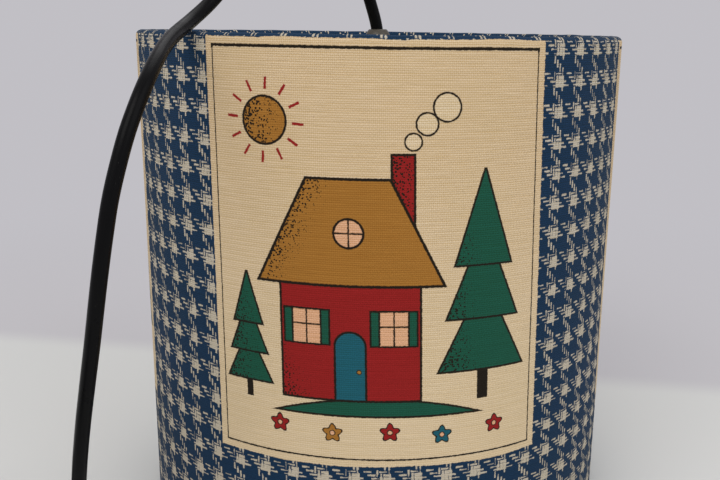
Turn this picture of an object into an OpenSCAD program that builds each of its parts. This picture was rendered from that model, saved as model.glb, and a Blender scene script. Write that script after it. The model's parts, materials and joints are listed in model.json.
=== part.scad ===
// Pendant lamp: a drum shade of printed cloth on two wire rings, hung by a spider from an E27
// lampholder on a round flex. It stands on its lower hem, as it does on a table, with the spare
// flex coiled beside it and the ceiling cup at the flex's far end.
// The origin is the middle of the lower hem, +Z is up and -Y is the shade's front.

/* [Shade] */
// Outer diameter of the cloth cover
shade_d = 240; // [200:1:300]
// Height over both hems
shade_h = 240; // [200:1:300]
// Thickness of the printed cloth
cloth_t = 0.5; // [0.3:0.1:0.8]
// Thickness of the stiff foil behind the cloth
foil_t = 0.4; // [0.2:0.1:0.8]
// Wire diameter of the top and bottom rings
ring_wire_d = 4; // [3:0.5:5]
// Depth of the hems turned in over the rings
hem_depth = 16; // [12:1:30]

/* [Spider] */
// Number of arms
arm_count = 3; // [3:1:4]
// Wire diameter of an arm
arm_d = 3.5; // [2.5:0.5:5]
// Outer diameter of the hub washer
hub_d = 68; // [64:1:80]
// Thickness of the hub washer
hub_t = 1.6; // [1:0.1:2.5]
// Length of the flattened foot of an arm
foot_l = 8; // [6:0.5:9]
// Width of the flattened foot of an arm
foot_w = 6; // [4:0.5:8]
// Thickness of the flattened foot of an arm
foot_t = 1.6; // [1:0.1:2]

/* [Lampholder] */
// How far the cord grip stands above the shade's rim
grip_rise = 3; // [-10:0.5:10]
// Height of the cord grip over the cap
grip_h = 20; // [16:0.5:30]
// Diameter of the cord grip
grip_d = 13; // [12:0.5:15]
// Height of the hexagon at the foot of the grip
grip_hex_h = 8; // [6:0.5:11]
// Diameter of the grip's threaded stub
stub_d = 9.8; // [9:0.1:10.5]
// Length of the grip's threaded stub
stub_l = 8; // [6:0.5:10]
// Diameter of the cap
cap_d = 45; // [43:0.5:47]
// Height of the cap
cap_h = 34; // [30:0.5:45]
// Height of the cap's straight fluted band
band_h = 11; // [9:0.5:14]
// Diameter of the cap's flat top
cap_top_d = 17; // [15.5:0.5:20]
// Wall of the cap
cap_wall = 2.6; // [2:0.1:3]
// Flutes round the cap and the flange
flute_count = 24; // [12:1:36]
// Depth of a flute
flute_depth = 0.6; // [0.3:0.1:1]
// Radius of a flute
flute_r = 3; // [2:0.5:4]
// Height of the skirt's flange
flange_h = 4; // [3:0.5:6]
// Height of the skirt's spigot inside the cap
spigot_h = 8; // [6:0.5:9]
// Diameter over the skirt's shade thread
thread_d = 39.5; // [38.5:0.1:39.8]
// Length of the skirt below its flange
skirt_l = 34; // [30:0.5:38]
// Bore of the skirt
skirt_bore_d = 34; // [32:0.5:35]
// Depth of the porcelain below the spigot's top
carrier_h = 19; // [16:0.5:22]
// Thickness of the porcelain's flange
carrier_flange_t = 3; // [2:0.5:4]
// Outer diameter of the shade ring
shade_ring_d = 56; // [52:1:60]
// Height of the shade ring
shade_ring_h = 9; // [7:0.5:12]
// Thickness of the shade ring's flange
shade_ring_flange_t = 2.5; // [2:0.1:3.5]
// Wall of the shade ring's sleeve
shade_ring_wall = 2.4; // [1.6:0.1:3]

/* [Socket] */
// Inner diameter of the brass screw shell
shell_d = 26.8; // [26.6:0.1:27.2]
// Sheet thickness of the brass
sheet_t = 0.4; // [0.3:0.1:0.6]
// Length of the screw shell
shell_l = 22; // [18:0.5:24]
// Distance of each terminal from the axis
terminal_x = 9; // [8.5:0.1:9.5]
// Drop of the centre contact's tongue
tongue_drop = 4.6; // [3.5:0.1:6]

/* [Bulb] */
// Diameter of the glass
bulb_d = 60; // [55:1:65]
// Overall length of the bulb
bulb_l = 105; // [100:1:115]
// Length of the bulb's cap with its insulator and contact
bulb_cap_l = 27; // [25:0.5:28]
// Wall of the glass
glass_t = 0.8; // [0.6:0.1:1]
// Radius of the filament's arc
filament_arc_r = 11; // [8:0.5:13]

/* [Flex] */
// Diameter of the round flex
flex_d = 6; // [5:0.1:6.2]
// Diameter of an insulated core
core_d = 2; // [1.6:0.1:2.2]
// Radius of the coil's outer turn
coil_r = 40; // [38:0.5:44]
// Turns in the coil
coil_turns = 3.5; // [3.5:1:5.5]
// Clear gap between neighbouring turns
coil_gap = 0.7; // [0.5:0.1:1.5]
// Thickness of the coil's tie
tie_t = 1; // [0.6:0.1:1.5]
// Width of the coil's tie
tie_w = 6; // [4:0.5:10]

/* [Ceiling cup] */
// Diameter of the cup
cup_d = 60; // [56:1:70]
// Height of the cup without its neck
cup_h = 40; // [38:0.5:46]
// Wall of the cup
cup_wall = 2; // [1.5:0.1:2.5]
// Radius of the cup's shoulder
shoulder_r = 14; // [8:0.5:16]
// Diameter of the neck
neck_d = 14; // [12:0.5:16]
// Height of the neck
neck_h = 8; // [7:0.5:12]
// Width of the hanger's square body
hanger_w = 12; // [11:0.5:14]
// Length of the hanger's square body
hanger_l = 11; // [10:0.5:12]
// Outer diameter of the hanging eye
eye_d = 16; // [14:0.5:18]
// Hole of the hanging eye
eye_bore_d = 8; // [6:0.5:9]
// Thickness of the hanging eye
eye_t = 5; // [4:0.5:6]
// Width of the terminal block
block_w = 17; // [16:0.5:20]
// Length of the terminal block
block_l = 14; // [12:0.5:14]
// Thickness of the terminal block
block_t = 9; // [8:0.5:10]
// Distance between the block's two poles
pole_step = 8; // [7:0.5:9]

/* [Hidden] */
$fn = 96;

// Clearances: layers that lie on each other, parts that turn or slide, screws in their holes, bulb in its shell
lay_gap = 0.05;
run_gap = 0.1;
slide_gap = 0.3;
screw_gap = 0.1;
thread_gap = 0.3;
// Overlap that keeps a cut clear of the face it leaves
cut = 1;
// Overlap of shapes that are one piece
join = 0.05;

// Shade: the fold of each hem is a half round over the ring and the foil's edge
shade_r = shade_d / 2;
foil_out_r = shade_r - cloth_t - lay_gap;
foil_in_r = foil_out_r - foil_t;
ring_r = foil_in_r - lay_gap - ring_wire_d / 2;
hem_in_r = ring_r - ring_wire_d / 2 - lay_gap - cloth_t;
fold_r = (shade_r - hem_in_r) / 2;
fold_x = shade_r - fold_r;
// The lower fold is pressed flat where the shade stands
base_flat = 0.4 * cloth_t;
fold_low_z = fold_r - base_flat;
fold_high_z = shade_h - fold_r;
// Below its ring a hem is tucked back to the foil
tuck_r = foil_in_r - lay_gap;
tuck_start = 0.2 * ring_wire_d;
tuck_drop = 1.75 * ring_wire_d;
tuck_shift = 0.35 * cloth_t;

// Lampholder heights, from the top of the grip down
grip_top_z = shade_h + grip_rise;
cap_top_z = grip_top_z - grip_h;
cap_low_z = cap_top_z - cap_h;
flange_low_z = cap_low_z - flange_h;
spigot_top_z = cap_low_z + spigot_h;
skirt_low_z = flange_low_z - skirt_l;
hub_top_z = flange_low_z - run_gap;
ring_top_z = hub_top_z - hub_t - run_gap;
carrier_top_z = spigot_top_z + carrier_flange_t;
carrier_low_z = spigot_top_z - carrier_h;
cap_r = cap_d / 2;
thread_r = thread_d / 2;
spigot_r = cap_r - cap_wall - run_gap;
flex_bore_r = flex_d / 2 + slide_gap;
hub_bore_r = thread_r + 0.5;
mouth_r = flex_d / 2 + 1.1;
mouth_h = 4;
dome_top_r = mouth_r + 0.3;
boss_r = stub_d / 2 + 3;

// Spider arms run from a foot on the hub to the underside of the top ring
foot_in_r = cap_r + 1.5;
arm_in_r = foot_in_r + 0.6 * foot_l;
arm_in_z = hub_top_z + foot_t / 2;
arm_out_r = ring_r + ring_wire_d / 4;
arm_out_z = fold_high_z - ring_wire_d / 2 - arm_d / 6;
arm_turn = 90;
notch_gap = 1;

// Small screws
screw_d = 3;
slot_w = 0.7;
slot_depth = 0.8;

// Socket
shell_r = shell_d / 2;
stud_d = 3;
clamp_w = 8;
clamp_l = 7;
clamp_h = 7;
tongue_w = 6;
tongue_t = 0.6;

// Bulb heights, from the contact down
tip_top_z = carrier_low_z - tongue_drop - 2 * run_gap;
bulb_low_z = tip_top_z - bulb_l;
bulb_cap_low_z = tip_top_z - bulb_cap_l;
bulb_r = bulb_d / 2;
bulb_cap_r = shell_r - thread_gap;
tip_h = 1.4;
tip_r = 4.6;
insulator_h = 4.6;
insulator_low_z = tip_top_z - tip_h - insulator_h;
flare_h = 2.5;
neck_r = bulb_cap_r - sheet_t - lay_gap;
neck_top_z = insulator_low_z - 7;
ball_z = bulb_low_z + bulb_r;
throat_z = bulb_cap_low_z - 3;
throat_h = throat_z - ball_z;
throat_r = (throat_h * throat_h / (bulb_r - neck_r) - (bulb_r + neck_r)) / 2;
filament_z = ball_z + 6;
filament_d = 0.9;
filament_open = 60;
press_z = filament_z + 12;
press_r = 4;
button_z = filament_z - 5;
wire_d = 0.7;

// Flex coil: two layers, wound in on the lower one and out on the upper one
flex_r = flex_d / 2;
coil_x = -178;
coil_y = -99.5;
coil_start = atan2(7, 24);
coil_step = flex_d + coil_gap;
coil_low_z = tie_t + slide_gap + flex_r;
coil_high_z = coil_low_z + coil_step;
coil_sweep = 360 * coil_turns;
coil_rings = 24;
coil_lead = flex_d;

function coil_dir(a) = [-sin(a), cos(a), 0];
function coil_radius(a) = coil_r - coil_step * min(a, coil_sweep - a) / 360;
function coil_climb(a) = max(0, min(1, (a - coil_sweep / 2 + 90) / 180));
function coil_z(a) = coil_low_z + coil_step * (1 - cos(180 * coil_climb(a))) / 2;
function coil_at(a) = [
    coil_x + coil_radius(a) * cos(coil_start + a),
    coil_y + coil_radius(a) * sin(coil_start + a),
    coil_z(a)
];
coil_in = coil_at(0) - coil_lead * coil_dir(coil_start);
coil_out_dir = coil_dir(coil_start + coil_sweep);
coil_out = coil_at(coil_sweep) + coil_lead * coil_out_dir;
coil_path = concat(
    [coil_at(0) - coil_lead / 2 * coil_dir(coil_start)],
    [for (i = [0 : coil_turns * coil_rings]) coil_at(i * 360 / coil_rings)],
    [coil_at(coil_sweep) + coil_lead / 2 * coil_out_dir]
);

// The free flex: up out of the grip, forward over the rim, down in front and on to the coil
arch_points = concat(
    [[0, 0, cap_top_z - stub_l - 1], [0, 0, cap_top_z + 6], [0, 0, grip_top_z - 6]],
    [
        [-1, -0.8, 244.5], [-4, -3, 255], [-8, -7, 267], [-14, -13.5, 277.5], [-22.5, -22.5, 284.5],
        [-33, -33.5, 286.5], [-44, -45.5, 282.5], [-54.5, -57, 273], [-63.5, -67.5, 262],
        [-71, -77.5, 252], [-76.3, -88, 245.4], [-79.2, -100, 241], [-80.3, -112, 237.8],
        [-80.7, -124, 234.2], [-80.9, -135.2, 229.7], [-81.9, -145, 223.6], [-83.9, -152, 215.9],
        [-86.7, -156.6, 206.5], [-89.7, -159.4, 195.5], [-92.6, -161.5, 183.5], [-95, -162.5, 171],
        [-97.4, -162.5, 158.5], [-100.2, -161, 145], [-104, -157.5, 128.5], [-108.6, -152.7, 110.5],
        [-113.6, -147, 91], [-118.5, -140.5, 70.5], [-122.7, -133.2, 50.8], [-125.2, -127, 33],
        [-127.9, -120.8, 21.3], [-131.2, -113.3, 11.9], [-134.4, -104.7, 6.2]
    ],
    [coil_in]
);

// The tail leaves the coil straight and lifts to the cup's axis: distance from the coil, height
cup_r = cup_d / 2;
tail_rise = [[12, 12], [24, 17], [36, 23], [48, 28], [58, 30], [66, 30]];
tail_level = 58;
neck_start = 82;
cord_end_a = neck_h + 16;
function tail_at(s, z) = [
    coil_out[0] + s * coil_out_dir[0],
    coil_out[1] + s * coil_out_dir[1],
    z
];
tail_points = concat(
    [coil_out],
    [for (p = tail_rise) tail_at(p[0], p[1] + min(1, p[0] / tail_level) * (cup_r - 30))],
    [tail_at(neck_start, cup_r), tail_at(neck_start + cord_end_a / 2, cup_r), tail_at(neck_start + cord_end_a, cup_r)]
);

// Ceiling end, along the cup's own axis from the neck's outer end
mouth_a = neck_h + cup_h;
hanger_a = cord_end_a - hanger_l + 1;
eye_a = hanger_a + hanger_l + 6 + eye_d / 2;
block_a = hanger_a - 1;
pole_x = -(hanger_w / 2 + block_t / 2);
tube_r = 2.2;
rib_w = 3;

// A curve through points, with a chosen point before the first and after the last
function spline_at(a, b, c, d, t) = 0.5 * (2 * b + (c - a) * t + (2 * a - 5 * b + 4 * c - d) * t * t
    + (3 * b - a - 3 * c + d) * t * t * t);
function smooth(p, before, after, steps) = let (e = concat([before], p, [after])) concat(
    [for (i = [1 : len(p) - 1], k = [0 : steps - 1])
        spline_at(e[i - 1], e[i], e[i + 1], e[i + 2], k / steps)],
    [p[len(p) - 1]]
);

function unit(v) = v / norm(v);
function tangent(p, i) = unit(p[min(i + 1, len(p) - 1)] - p[max(i - 1, 0)]);
// A side direction carried along the path without twist
function carry(side, t) = unit(side - (side * t) * t);
function sides_along(p, first, i) = i == 0 ? [carry(first, tangent(p, 0))]
    : let (before = sides_along(p, first, i - 1)) concat(before, [carry(before[i - 1], tangent(p, i))]);
function ring_at(c, t, s, r, n) = [for (k = [0 : n - 1])
    c + r * (cos(360 * k / n) * s + sin(360 * k / n) * cross(t, s))];

// A round tube along a path: one closed skin of triangles, with square ends
module tube(p, r, n, first) {
    s = sides_along(p, first, len(p) - 1);
    m = len(p);
    rings = [for (i = [0 : m - 1]) each ring_at(p[i], tangent(p, i), s[i], r, n)];
    points = concat(rings, [p[0], p[m - 1]]);
    walls = [for (i = [0 : m - 2], k = [0 : n - 1]) let (a = i * n + k, b = i * n + (k + 1) % n)
        each [[a, a + n, b], [b, a + n, b + n]]];
    ends = [for (k = [0 : n - 1]) each [
        [m * n, k, (k + 1) % n],
        [m * n + 1, (m - 1) * n + (k + 1) % n, (m - 1) * n + k]
    ]];
    polyhedron(points, concat(walls, ends));
}

// Least clear gap between turns of the coil, over pairs of points at least half a turn apart
coil_gaps = [for (i = [0 : len(coil_path) - 1], j = [i + coil_rings / 2 : 1 : len(coil_path) - 1])
    norm(coil_path[i] - coil_path[j]) - flex_d];
echo(least_coil_gap = min(coil_gaps));  // flex_coil

// Shared shapes

// A slotted screw with its tip at the origin and its shank along +Z
module screw(length, head_d, head_h) {
    difference() {
        union() {
            cylinder(d = screw_d, h = length);
            translate([0, 0, length]) cylinder(d = head_d, h = head_h);
        }
        translate([-head_d, -slot_w / 2, length + head_h - slot_depth]) cube([2 * head_d, slot_w, slot_depth + cut]);
    }
}

// A headless screw with a slot in its end
module grub(length) {
    difference() {
        cylinder(d = screw_d, h = length);
        translate([-screw_d, -slot_w / 2, length - slot_depth]) cube([2 * screw_d, slot_w, slot_depth + cut]);
    }
}

// Copies round the lamp's axis
module around(count) {
    for (i = [0 : count - 1]) rotate(i * 360 / count) children();
}

// Finger flutes cut round the cap and the flange
module flutes(low, high) {
    around(flute_count) translate([cap_r - flute_depth + flute_r, 0, low]) cylinder(r = flute_r, h = high - low);
}

// Shade

// Half section of a hem: the fold over the ring and the edge tucked back to the foil
module hem_section() {
    intersection() {
        translate([fold_x, 0]) difference() {
            circle(fold_r);
            circle(fold_r - cloth_t);
        }
        translate([hem_in_r, -join]) square([2 * fold_r, fold_r + join]);
    }
    polygon([
        [hem_in_r, 0], [hem_in_r, -tuck_start - tuck_shift], [tuck_r - cloth_t, -tuck_drop - tuck_shift],
        [tuck_r - cloth_t, -hem_depth], [tuck_r, -hem_depth], [tuck_r, -tuck_drop],
        [hem_in_r + cloth_t, -tuck_start], [hem_in_r + cloth_t, 0]
    ]);
}

// A cylinder along the first arm's axis, up to a given radius from the lamp's axis
module along_arm(d, out_r) {
    rise = (arm_out_z - arm_in_z) / (arm_out_r - arm_in_r);
    run = out_r - arm_in_r;
    translate([arm_in_r, 0, arm_in_z]) rotate([0, atan2(1, rise), 0])
        cylinder(d = d, h = norm([run, rise * run]));
}

// Printed cover: wall, upper hem, lower hem, with notches in the upper hem for the arms
module shade_cloth() {
    color("wheat") difference() {
        rotate_extrude() difference() {
            union() {
                translate([shade_r - cloth_t, fold_low_z]) square([cloth_t, fold_high_z - fold_low_z]);
                translate([0, fold_high_z]) hem_section();
                translate([0, fold_low_z]) mirror([0, 1]) hem_section();
            }
            translate([hem_in_r - cut, -fold_r]) square([2 * fold_r + 2 * cut, fold_r]);
        }
        rotate(arm_turn) around(arm_count) along_arm(arm_d + 2 * notch_gap, ring_r);
    }
}

// Stiff foil that the cover is glued to
module shade_foil() {
    color("ivory") translate([0, 0, fold_low_z]) difference() {
        cylinder(r = foil_out_r, h = fold_high_z - fold_low_z);
        translate([0, 0, -cut]) cylinder(r = foil_in_r, h = fold_high_z - fold_low_z + 2 * cut);
    }
}

module wire_ring(z, gap) {
    translate([0, 0, z]) rotate_extrude() translate([ring_r, 0]) circle(ring_wire_d / 2 + gap);
}

module top_ring() {
    color("gainsboro") wire_ring(fold_high_z, 0);
}

module bottom_ring() {
    color("gainsboro") wire_ring(fold_low_z, 0);
}

// Arms: a flattened foot on the hub, then a straight wire up to the ring
module spider_arms() {
    color("gainsboro") rotate(arm_turn) around(arm_count) difference() {
        union() {
            translate([foot_in_r + foot_w / 2, -foot_w / 2, hub_top_z]) cube([foot_l - foot_w / 2, foot_w, foot_t]);
            translate([foot_in_r + foot_w / 2, 0, hub_top_z]) cylinder(d = foot_w, h = foot_t);
            along_arm(arm_d, arm_out_r);
        }
        translate([0, -arm_d, hub_top_z - 2 * arm_d]) cube([shade_r, 2 * arm_d, 2 * arm_d]);
        wire_ring(fold_high_z, lay_gap);
    }
}

module spider_hub() {
    color("gainsboro") translate([0, 0, hub_top_z - hub_t]) difference() {
        cylinder(d = hub_d, h = hub_t);
        translate([0, 0, -cut]) cylinder(r = hub_bore_r, h = hub_t + 2 * cut);
    }
}

// Lampholder

// Domed grip on a hexagon, with a flared mouth for the flex and a threaded stub
module cord_grip() {
    grip_r = grip_d / 2;
    dome_z = grip_top_z - sqrt(grip_r * grip_r - dome_top_r * dome_top_r);
    color("rosybrown") difference() {
        union() {
            translate([0, 0, cap_top_z]) cylinder(d = grip_d / cos(30), h = grip_hex_h, $fn = 6);
            rotate_extrude() {
                translate([0, cap_top_z]) square([grip_r, dome_z - cap_top_z]);
                intersection() {
                    translate([0, dome_z]) circle(grip_r);
                    translate([0, dome_z - join]) square([grip_r, grip_top_z - dome_z + join]);
                }
            }
            translate([0, 0, cap_top_z - stub_l]) cylinder(d = stub_d, h = stub_l + cut);
        }
        translate([0, 0, cap_top_z - stub_l - cut]) cylinder(r = flex_bore_r, h = stub_l + grip_h + 2 * cut);
        translate([0, 0, grip_top_z - mouth_h]) cylinder(r1 = flex_bore_r, r2 = mouth_r, h = mouth_h);
        translate([0, 0, cap_top_z + grip_hex_h / 2]) rotate([90, 0, 0])
            cylinder(d = screw_d + 2 * screw_gap, h = grip_d);
    }
}

// Grub screw that pinches the flex
module grip_screw() {
    color("dimgray") translate([0, -flex_r - run_gap, cap_top_z + grip_hex_h / 2]) rotate([90, 0, 0])
        grub(grip_d / 2 - flex_r);
}

// Outline of the cap's outside or, with a wall, of its hollow
module cap_outline(wall) {
    top_r = cap_top_d / 2;
    dome_h = cap_h - band_h;
    arc_r = ((cap_r - top_r) * (cap_r - top_r) + dome_h * dome_h) / (2 * (cap_r - top_r));
    translate([0, cap_low_z - (wall > 0 ? cut : 0)]) square([cap_r - wall, band_h + (wall > 0 ? cut : 0)]);
    intersection() {
        translate([cap_r - arc_r, cap_low_z + band_h]) circle(arc_r - wall);
        translate([0, cap_low_z + band_h - join]) square([cap_r, dome_h - wall + join]);
    }
}

module holder_cap() {
    color("rosybrown") difference() {
        union() {
            rotate_extrude() difference() {
                cap_outline(0);
                cap_outline(cap_wall);
            }
            translate([0, 0, cap_top_z - stub_l]) cylinder(r = boss_r, h = stub_l - cap_wall / 2);
        }
        translate([0, 0, cap_top_z - stub_l - cut]) cylinder(d = stub_d + 2 * run_gap, h = stub_l + 2 * cut);
        flutes(cap_low_z - cut, cap_top_z);
    }
}

// Skirt: spigot in the cap, fluted flange, and the long collar that carries the shade
module holder_skirt() {
    bore_r = skirt_bore_d / 2;
    lip = (thread_r - bore_r) / 2;
    color("rosybrown") difference() {
        rotate_extrude() {
            translate([bore_r, cap_low_z - join]) square([spigot_r - bore_r, spigot_h + join]);
            translate([bore_r, flange_low_z]) square([cap_r - bore_r, flange_h]);
            polygon([
                [bore_r, flange_low_z + join], [bore_r, skirt_low_z + lip], [bore_r + lip, skirt_low_z],
                [thread_r - lip / 2, skirt_low_z], [thread_r, skirt_low_z + lip], [thread_r, flange_low_z + join]
            ]);
        }
        flutes(flange_low_z - cut, cap_low_z + cut);
    }
}

// Ring nut under the hub: a fluted flange on a short sleeve
module shade_ring() {
    bore_r = thread_r + slide_gap;
    out_r = shade_ring_d / 2;
    color("rosybrown") translate([0, 0, ring_top_z]) difference() {
        rotate_extrude() {
            translate([bore_r, -shade_ring_flange_t]) square([out_r - bore_r, shade_ring_flange_t]);
            translate([bore_r, -shade_ring_h]) square([shade_ring_wall, shade_ring_h]);
        }
        around(flute_count) translate([out_r - flute_depth + flute_r, 0, -shade_ring_flange_t - cut])
            cylinder(r = flute_r, h = shade_ring_flange_t + 2 * cut);
    }
}

// Socket

// Porcelain: a flange on the spigot's top and a plug in the skirt's bore
module contact_carrier() {
    color("whitesmoke") difference() {
        union() {
            translate([0, 0, spigot_top_z]) cylinder(r = spigot_r, h = carrier_flange_t);
            translate([0, 0, carrier_low_z]) cylinder(d = skirt_bore_d - 4 * run_gap, h = carrier_h);
        }
        for (side = [-1, 1]) translate([side * terminal_x, 0, carrier_low_z - cut])
            cylinder(d = stud_d + 2 * screw_gap, h = carrier_h + carrier_flange_t + 2 * cut);
    }
}

// Brass sleeve with a flat top, cut away round the centre contact's foot
module screw_shell() {
    slot = tongue_w + 4;
    color("gold") translate([0, 0, carrier_low_z - shell_l]) difference() {
        cylinder(r = shell_r + sheet_t, h = shell_l);
        translate([0, 0, -cut]) cylinder(r = shell_r, h = shell_l - sheet_t + cut);
        cylinder(r = terminal_x - stud_d, h = shell_l + cut);
        translate([0, -slot / 2, shell_l - 2 * sheet_t]) cube([shell_r, slot, 2 * sheet_t + cut]);
    }
}

// Sprung tongue: a flat foot under the porcelain that slopes down to the bulb's contact
module centre_contact() {
    foot_end = terminal_x + stud_d / 2 + 0.5;
    bend = terminal_x - stud_d - 2;
    color("gold") translate([0, tongue_w / 2, carrier_low_z]) rotate([90, 0, 0]) linear_extrude(tongue_w) polygon([
        [foot_end, 0], [bend, 0], [-1, tongue_t - tongue_drop], [-4, tongue_t - tongue_drop],
        [-4, -tongue_drop], [-1, -tongue_drop], [bend, -tongue_t], [foot_end, -tongue_t]
    ]);
}

// Clamp blocks on the porcelain, with studs down to the shell and to the tongue
module terminal_clamps() {
    color("gold") for (side = [-1, 1]) difference() {
        union() {
            translate([side * terminal_x - clamp_l / 2, -clamp_w / 2, carrier_top_z]) cube([clamp_l, clamp_w, clamp_h]);
            translate([side * terminal_x, 0, carrier_low_z])
                cylinder(d = stud_d, h = carrier_h + carrier_flange_t + cut);
        }
        translate([side * terminal_x, 0, carrier_top_z + clamp_h / 2]) rotate([0, side * 90, 0])
            cylinder(d = screw_d + 2 * screw_gap, h = clamp_l);
    }
}

module terminal_screws() {
    color("silver") for (side = [-1, 1])
        translate([side * (terminal_x + run_gap), 0, carrier_top_z + clamp_h / 2]) rotate([0, side * 90, 0])
            screw(clamp_l / 2, 5, 1.4);
}

// An insulated core from the flex's end to its clamp
module holder_core(side) {
    top = cap_top_z - stub_l - 1;
    end = carrier_top_z + clamp_h;
    step = (top - end) / 4;
    out = terminal_x;
    lead = [0, 0, core_d / 4];
    p = [
        [side * core_d * 0.7, 0, top] - lead, [side * core_d * 0.8, 0, top - step],
        [side * out * 0.5, 0, top - 2 * step], [side * out * 0.9, 0, end + step], [side * out, 0, end] + lead
    ];
    run = smooth(p, p[0] + [0, 0, step], p[4] - [0, 0, step], 3);
    tube(concat([p[0] + lead], run, [p[4] - lead]), core_d / 2, 8, [0, 1, 0]);
}

module live_core() {
    color("saddlebrown") holder_core(1);
}

module neutral_core() {
    color("steelblue") holder_core(-1);
}

// Bulb

module bulb_contact() {
    color("silver") translate([0, 0, tip_top_z - tip_h]) rotate_extrude() polygon([
        [0, 0], [tip_r, 0], [tip_r, 0.4 * tip_h], [0.6 * tip_r, tip_h], [0, tip_h]
    ]);
}

module bulb_insulator() {
    color("black") translate([0, 0, insulator_low_z])
        cylinder(r1 = bulb_cap_r - 2, r2 = tip_r + 0.4, h = insulator_h);
}

// Thin screw cap with a shouldered top and a flared foot
module bulb_cap() {
    in_r = bulb_cap_r - sheet_t;
    top_r = bulb_cap_r - 2;
    shoulder = 2.4;
    color("silver") rotate_extrude() polygon([
        [bulb_cap_r + 0.6, bulb_cap_low_z], [bulb_cap_r, bulb_cap_low_z + flare_h],
        [bulb_cap_r, insulator_low_z - shoulder], [top_r, insulator_low_z], [top_r - sheet_t, insulator_low_z],
        [in_r, insulator_low_z - shoulder - sheet_t / 2], [in_r, bulb_cap_low_z]
    ]);
}

// Outline of the glass, outside or, with a wall, inside: ball, throat and neck
module glass_outline(wall) {
    joint_r = bulb_r * (neck_r + throat_r) / (bulb_r + throat_r);
    translate([0, ball_z]) intersection() {
        circle(bulb_r - wall);
        translate([0, -bulb_r]) square([bulb_r, 2 * bulb_r]);
    }
    difference() {
        translate([0, ball_z]) square([joint_r - wall / 2, throat_h]);
        translate([neck_r + throat_r, throat_z]) circle(throat_r + wall);
    }
    translate([0, throat_z]) square([neck_r - wall, neck_top_z - throat_z + (wall > 0 ? cut : 0)]);
}

module bulb_glass() {
    color("azure", 0.4) rotate_extrude() difference() {
        glass_outline(0);
        glass_outline(glass_t);
    }
}

// Glass stem: a flare sealed to the neck, a rod, and a thin post with a button
module bulb_stem() {
    flare_r = neck_r - glass_t - lay_gap;
    color("azure", 0.6) rotate_extrude() polygon([
        [0, neck_top_z], [flare_r, neck_top_z], [flare_r, neck_top_z - 2], [press_r, throat_z],
        [press_r, press_z], [1.2, press_z - 2], [1.2, button_z + 2], [2.2, button_z + 1.4],
        [2.2, button_z - 1.4], [0, button_z - 2]
    ]);
}

module wire_between(a, b, d) {
    v = b - a;
    translate(a) rotate([0, acos(v[2] / norm(v)), atan2(v[1], v[0])]) cylinder(d = d, h = norm(v));
}

// Lead wires from the press to the filament's two ends
module bulb_leads() {
    color("silver") for (side = [-1, 1]) wire_between(
        [press_r - 1, side * (press_r - 2), press_z - 2 + 0.3],
        [filament_arc_r * cos(filament_open - 3), side * filament_arc_r * sin(filament_open - 3), filament_z],
        wire_d);
}

module bulb_filament() {
    color("dimgray") translate([0, 0, filament_z]) rotate(filament_open)
        rotate_extrude(angle = 360 - 2 * filament_open) translate([filament_arc_r, 0]) circle(d = filament_d, $fn = 24);
}

module filament_supports() {
    reach = filament_arc_r - filament_d / 2 - lay_gap;
    color("silver") for (a = [100, 180, 260]) wire_between(
        [2.3 * cos(a), 2.3 * sin(a), button_z],
        [reach * cos(a), reach * sin(a), filament_z - filament_d],
        wire_d);
}

// Flex

module flex_arch() {
    before = arch_points[1] - [0, 0, 2 * grip_h];
    after = arch_points[len(arch_points) - 2] + 4 * flex_d * coil_dir(coil_start);
    color("black") tube(concat(smooth(arch_points, before, after, 2), [coil_path[0]]), flex_r, 10, [0, 1, 0]);
}

module flex_coil() {
    color("black") tube(coil_path, flex_r, 6, [0, 0, 1]);
}

module flex_tail() {
    before = tail_points[1] - 4 * flex_d * coil_out_dir;
    after = tail_points[len(tail_points) - 2] + 4 * flex_d * coil_out_dir;
    start = coil_path[len(coil_path) - 1];
    color("black") tube(concat([start], smooth(tail_points, before, after, 2)), flex_r, 10, [0, 0, 1]);
}

module rounded_rect(w, h, r) {
    square([w - 2 * r, h], center = true);
    square([w, h - 2 * r], center = true);
    for (x = [-1, 1], y = [-1, 1]) translate([x * (w / 2 - r), y * (h / 2 - r)]) circle(r);
}

// Band round the coil where its turns lie two by two, a quarter turn from its start
module coil_tie() {
    in_w = coil_step + flex_d + 2 * slide_gap;
    out_w = in_w + 2 * tie_t;
    a = 90;
    mid_r = (coil_radius(a) + coil_radius(a + 360)) / 2;
    color("dimgray") translate([coil_x, coil_y, (coil_low_z + coil_high_z) / 2]) rotate(coil_start + a)
        translate([mid_r, tie_w / 2, 0]) rotate([90, 0, 0]) linear_extrude(tie_w) difference() {
            rounded_rect(out_w, out_w, flex_r);
            rounded_rect(in_w, in_w, flex_r - tie_t);
        }
}

// Ceiling end

// The cup's own frame: +Z along its axis from the neck to the mouth, -X up
module at_cup() {
    translate(tail_at(neck_start, cup_r)) rotate([0, 0, atan2(coil_out_dir[1], coil_out_dir[0])])
        rotate([0, 90, 0]) children();
}

module cup_outline(wall) {
    low = neck_h + wall;
    high = mouth_a + (wall > 0 ? cut : 0);
    flat_r = cup_r - shoulder_r;
    translate([0, low]) square([flat_r, high - low]);
    translate([0, neck_h + shoulder_r]) square([cup_r - wall, high - neck_h - shoulder_r]);
    intersection() {
        translate([flat_r, neck_h + shoulder_r]) circle(shoulder_r - wall);
        translate([0, low]) square([cup_r, shoulder_r]);
    }
}

module ceiling_cup() {
    color("black") at_cup() difference() {
        rotate_extrude() {
            translate([flex_bore_r, 0]) square([neck_d / 2 - flex_bore_r, neck_h + cup_wall]);
            difference() {
                cup_outline(0);
                cup_outline(cup_wall);
                square([flex_bore_r, mouth_a]);
            }
        }
        translate([0, 0, neck_h / 2]) rotate([0, -90, 0]) cylinder(d = screw_d + 2 * screw_gap, h = neck_d);
    }
}

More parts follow.
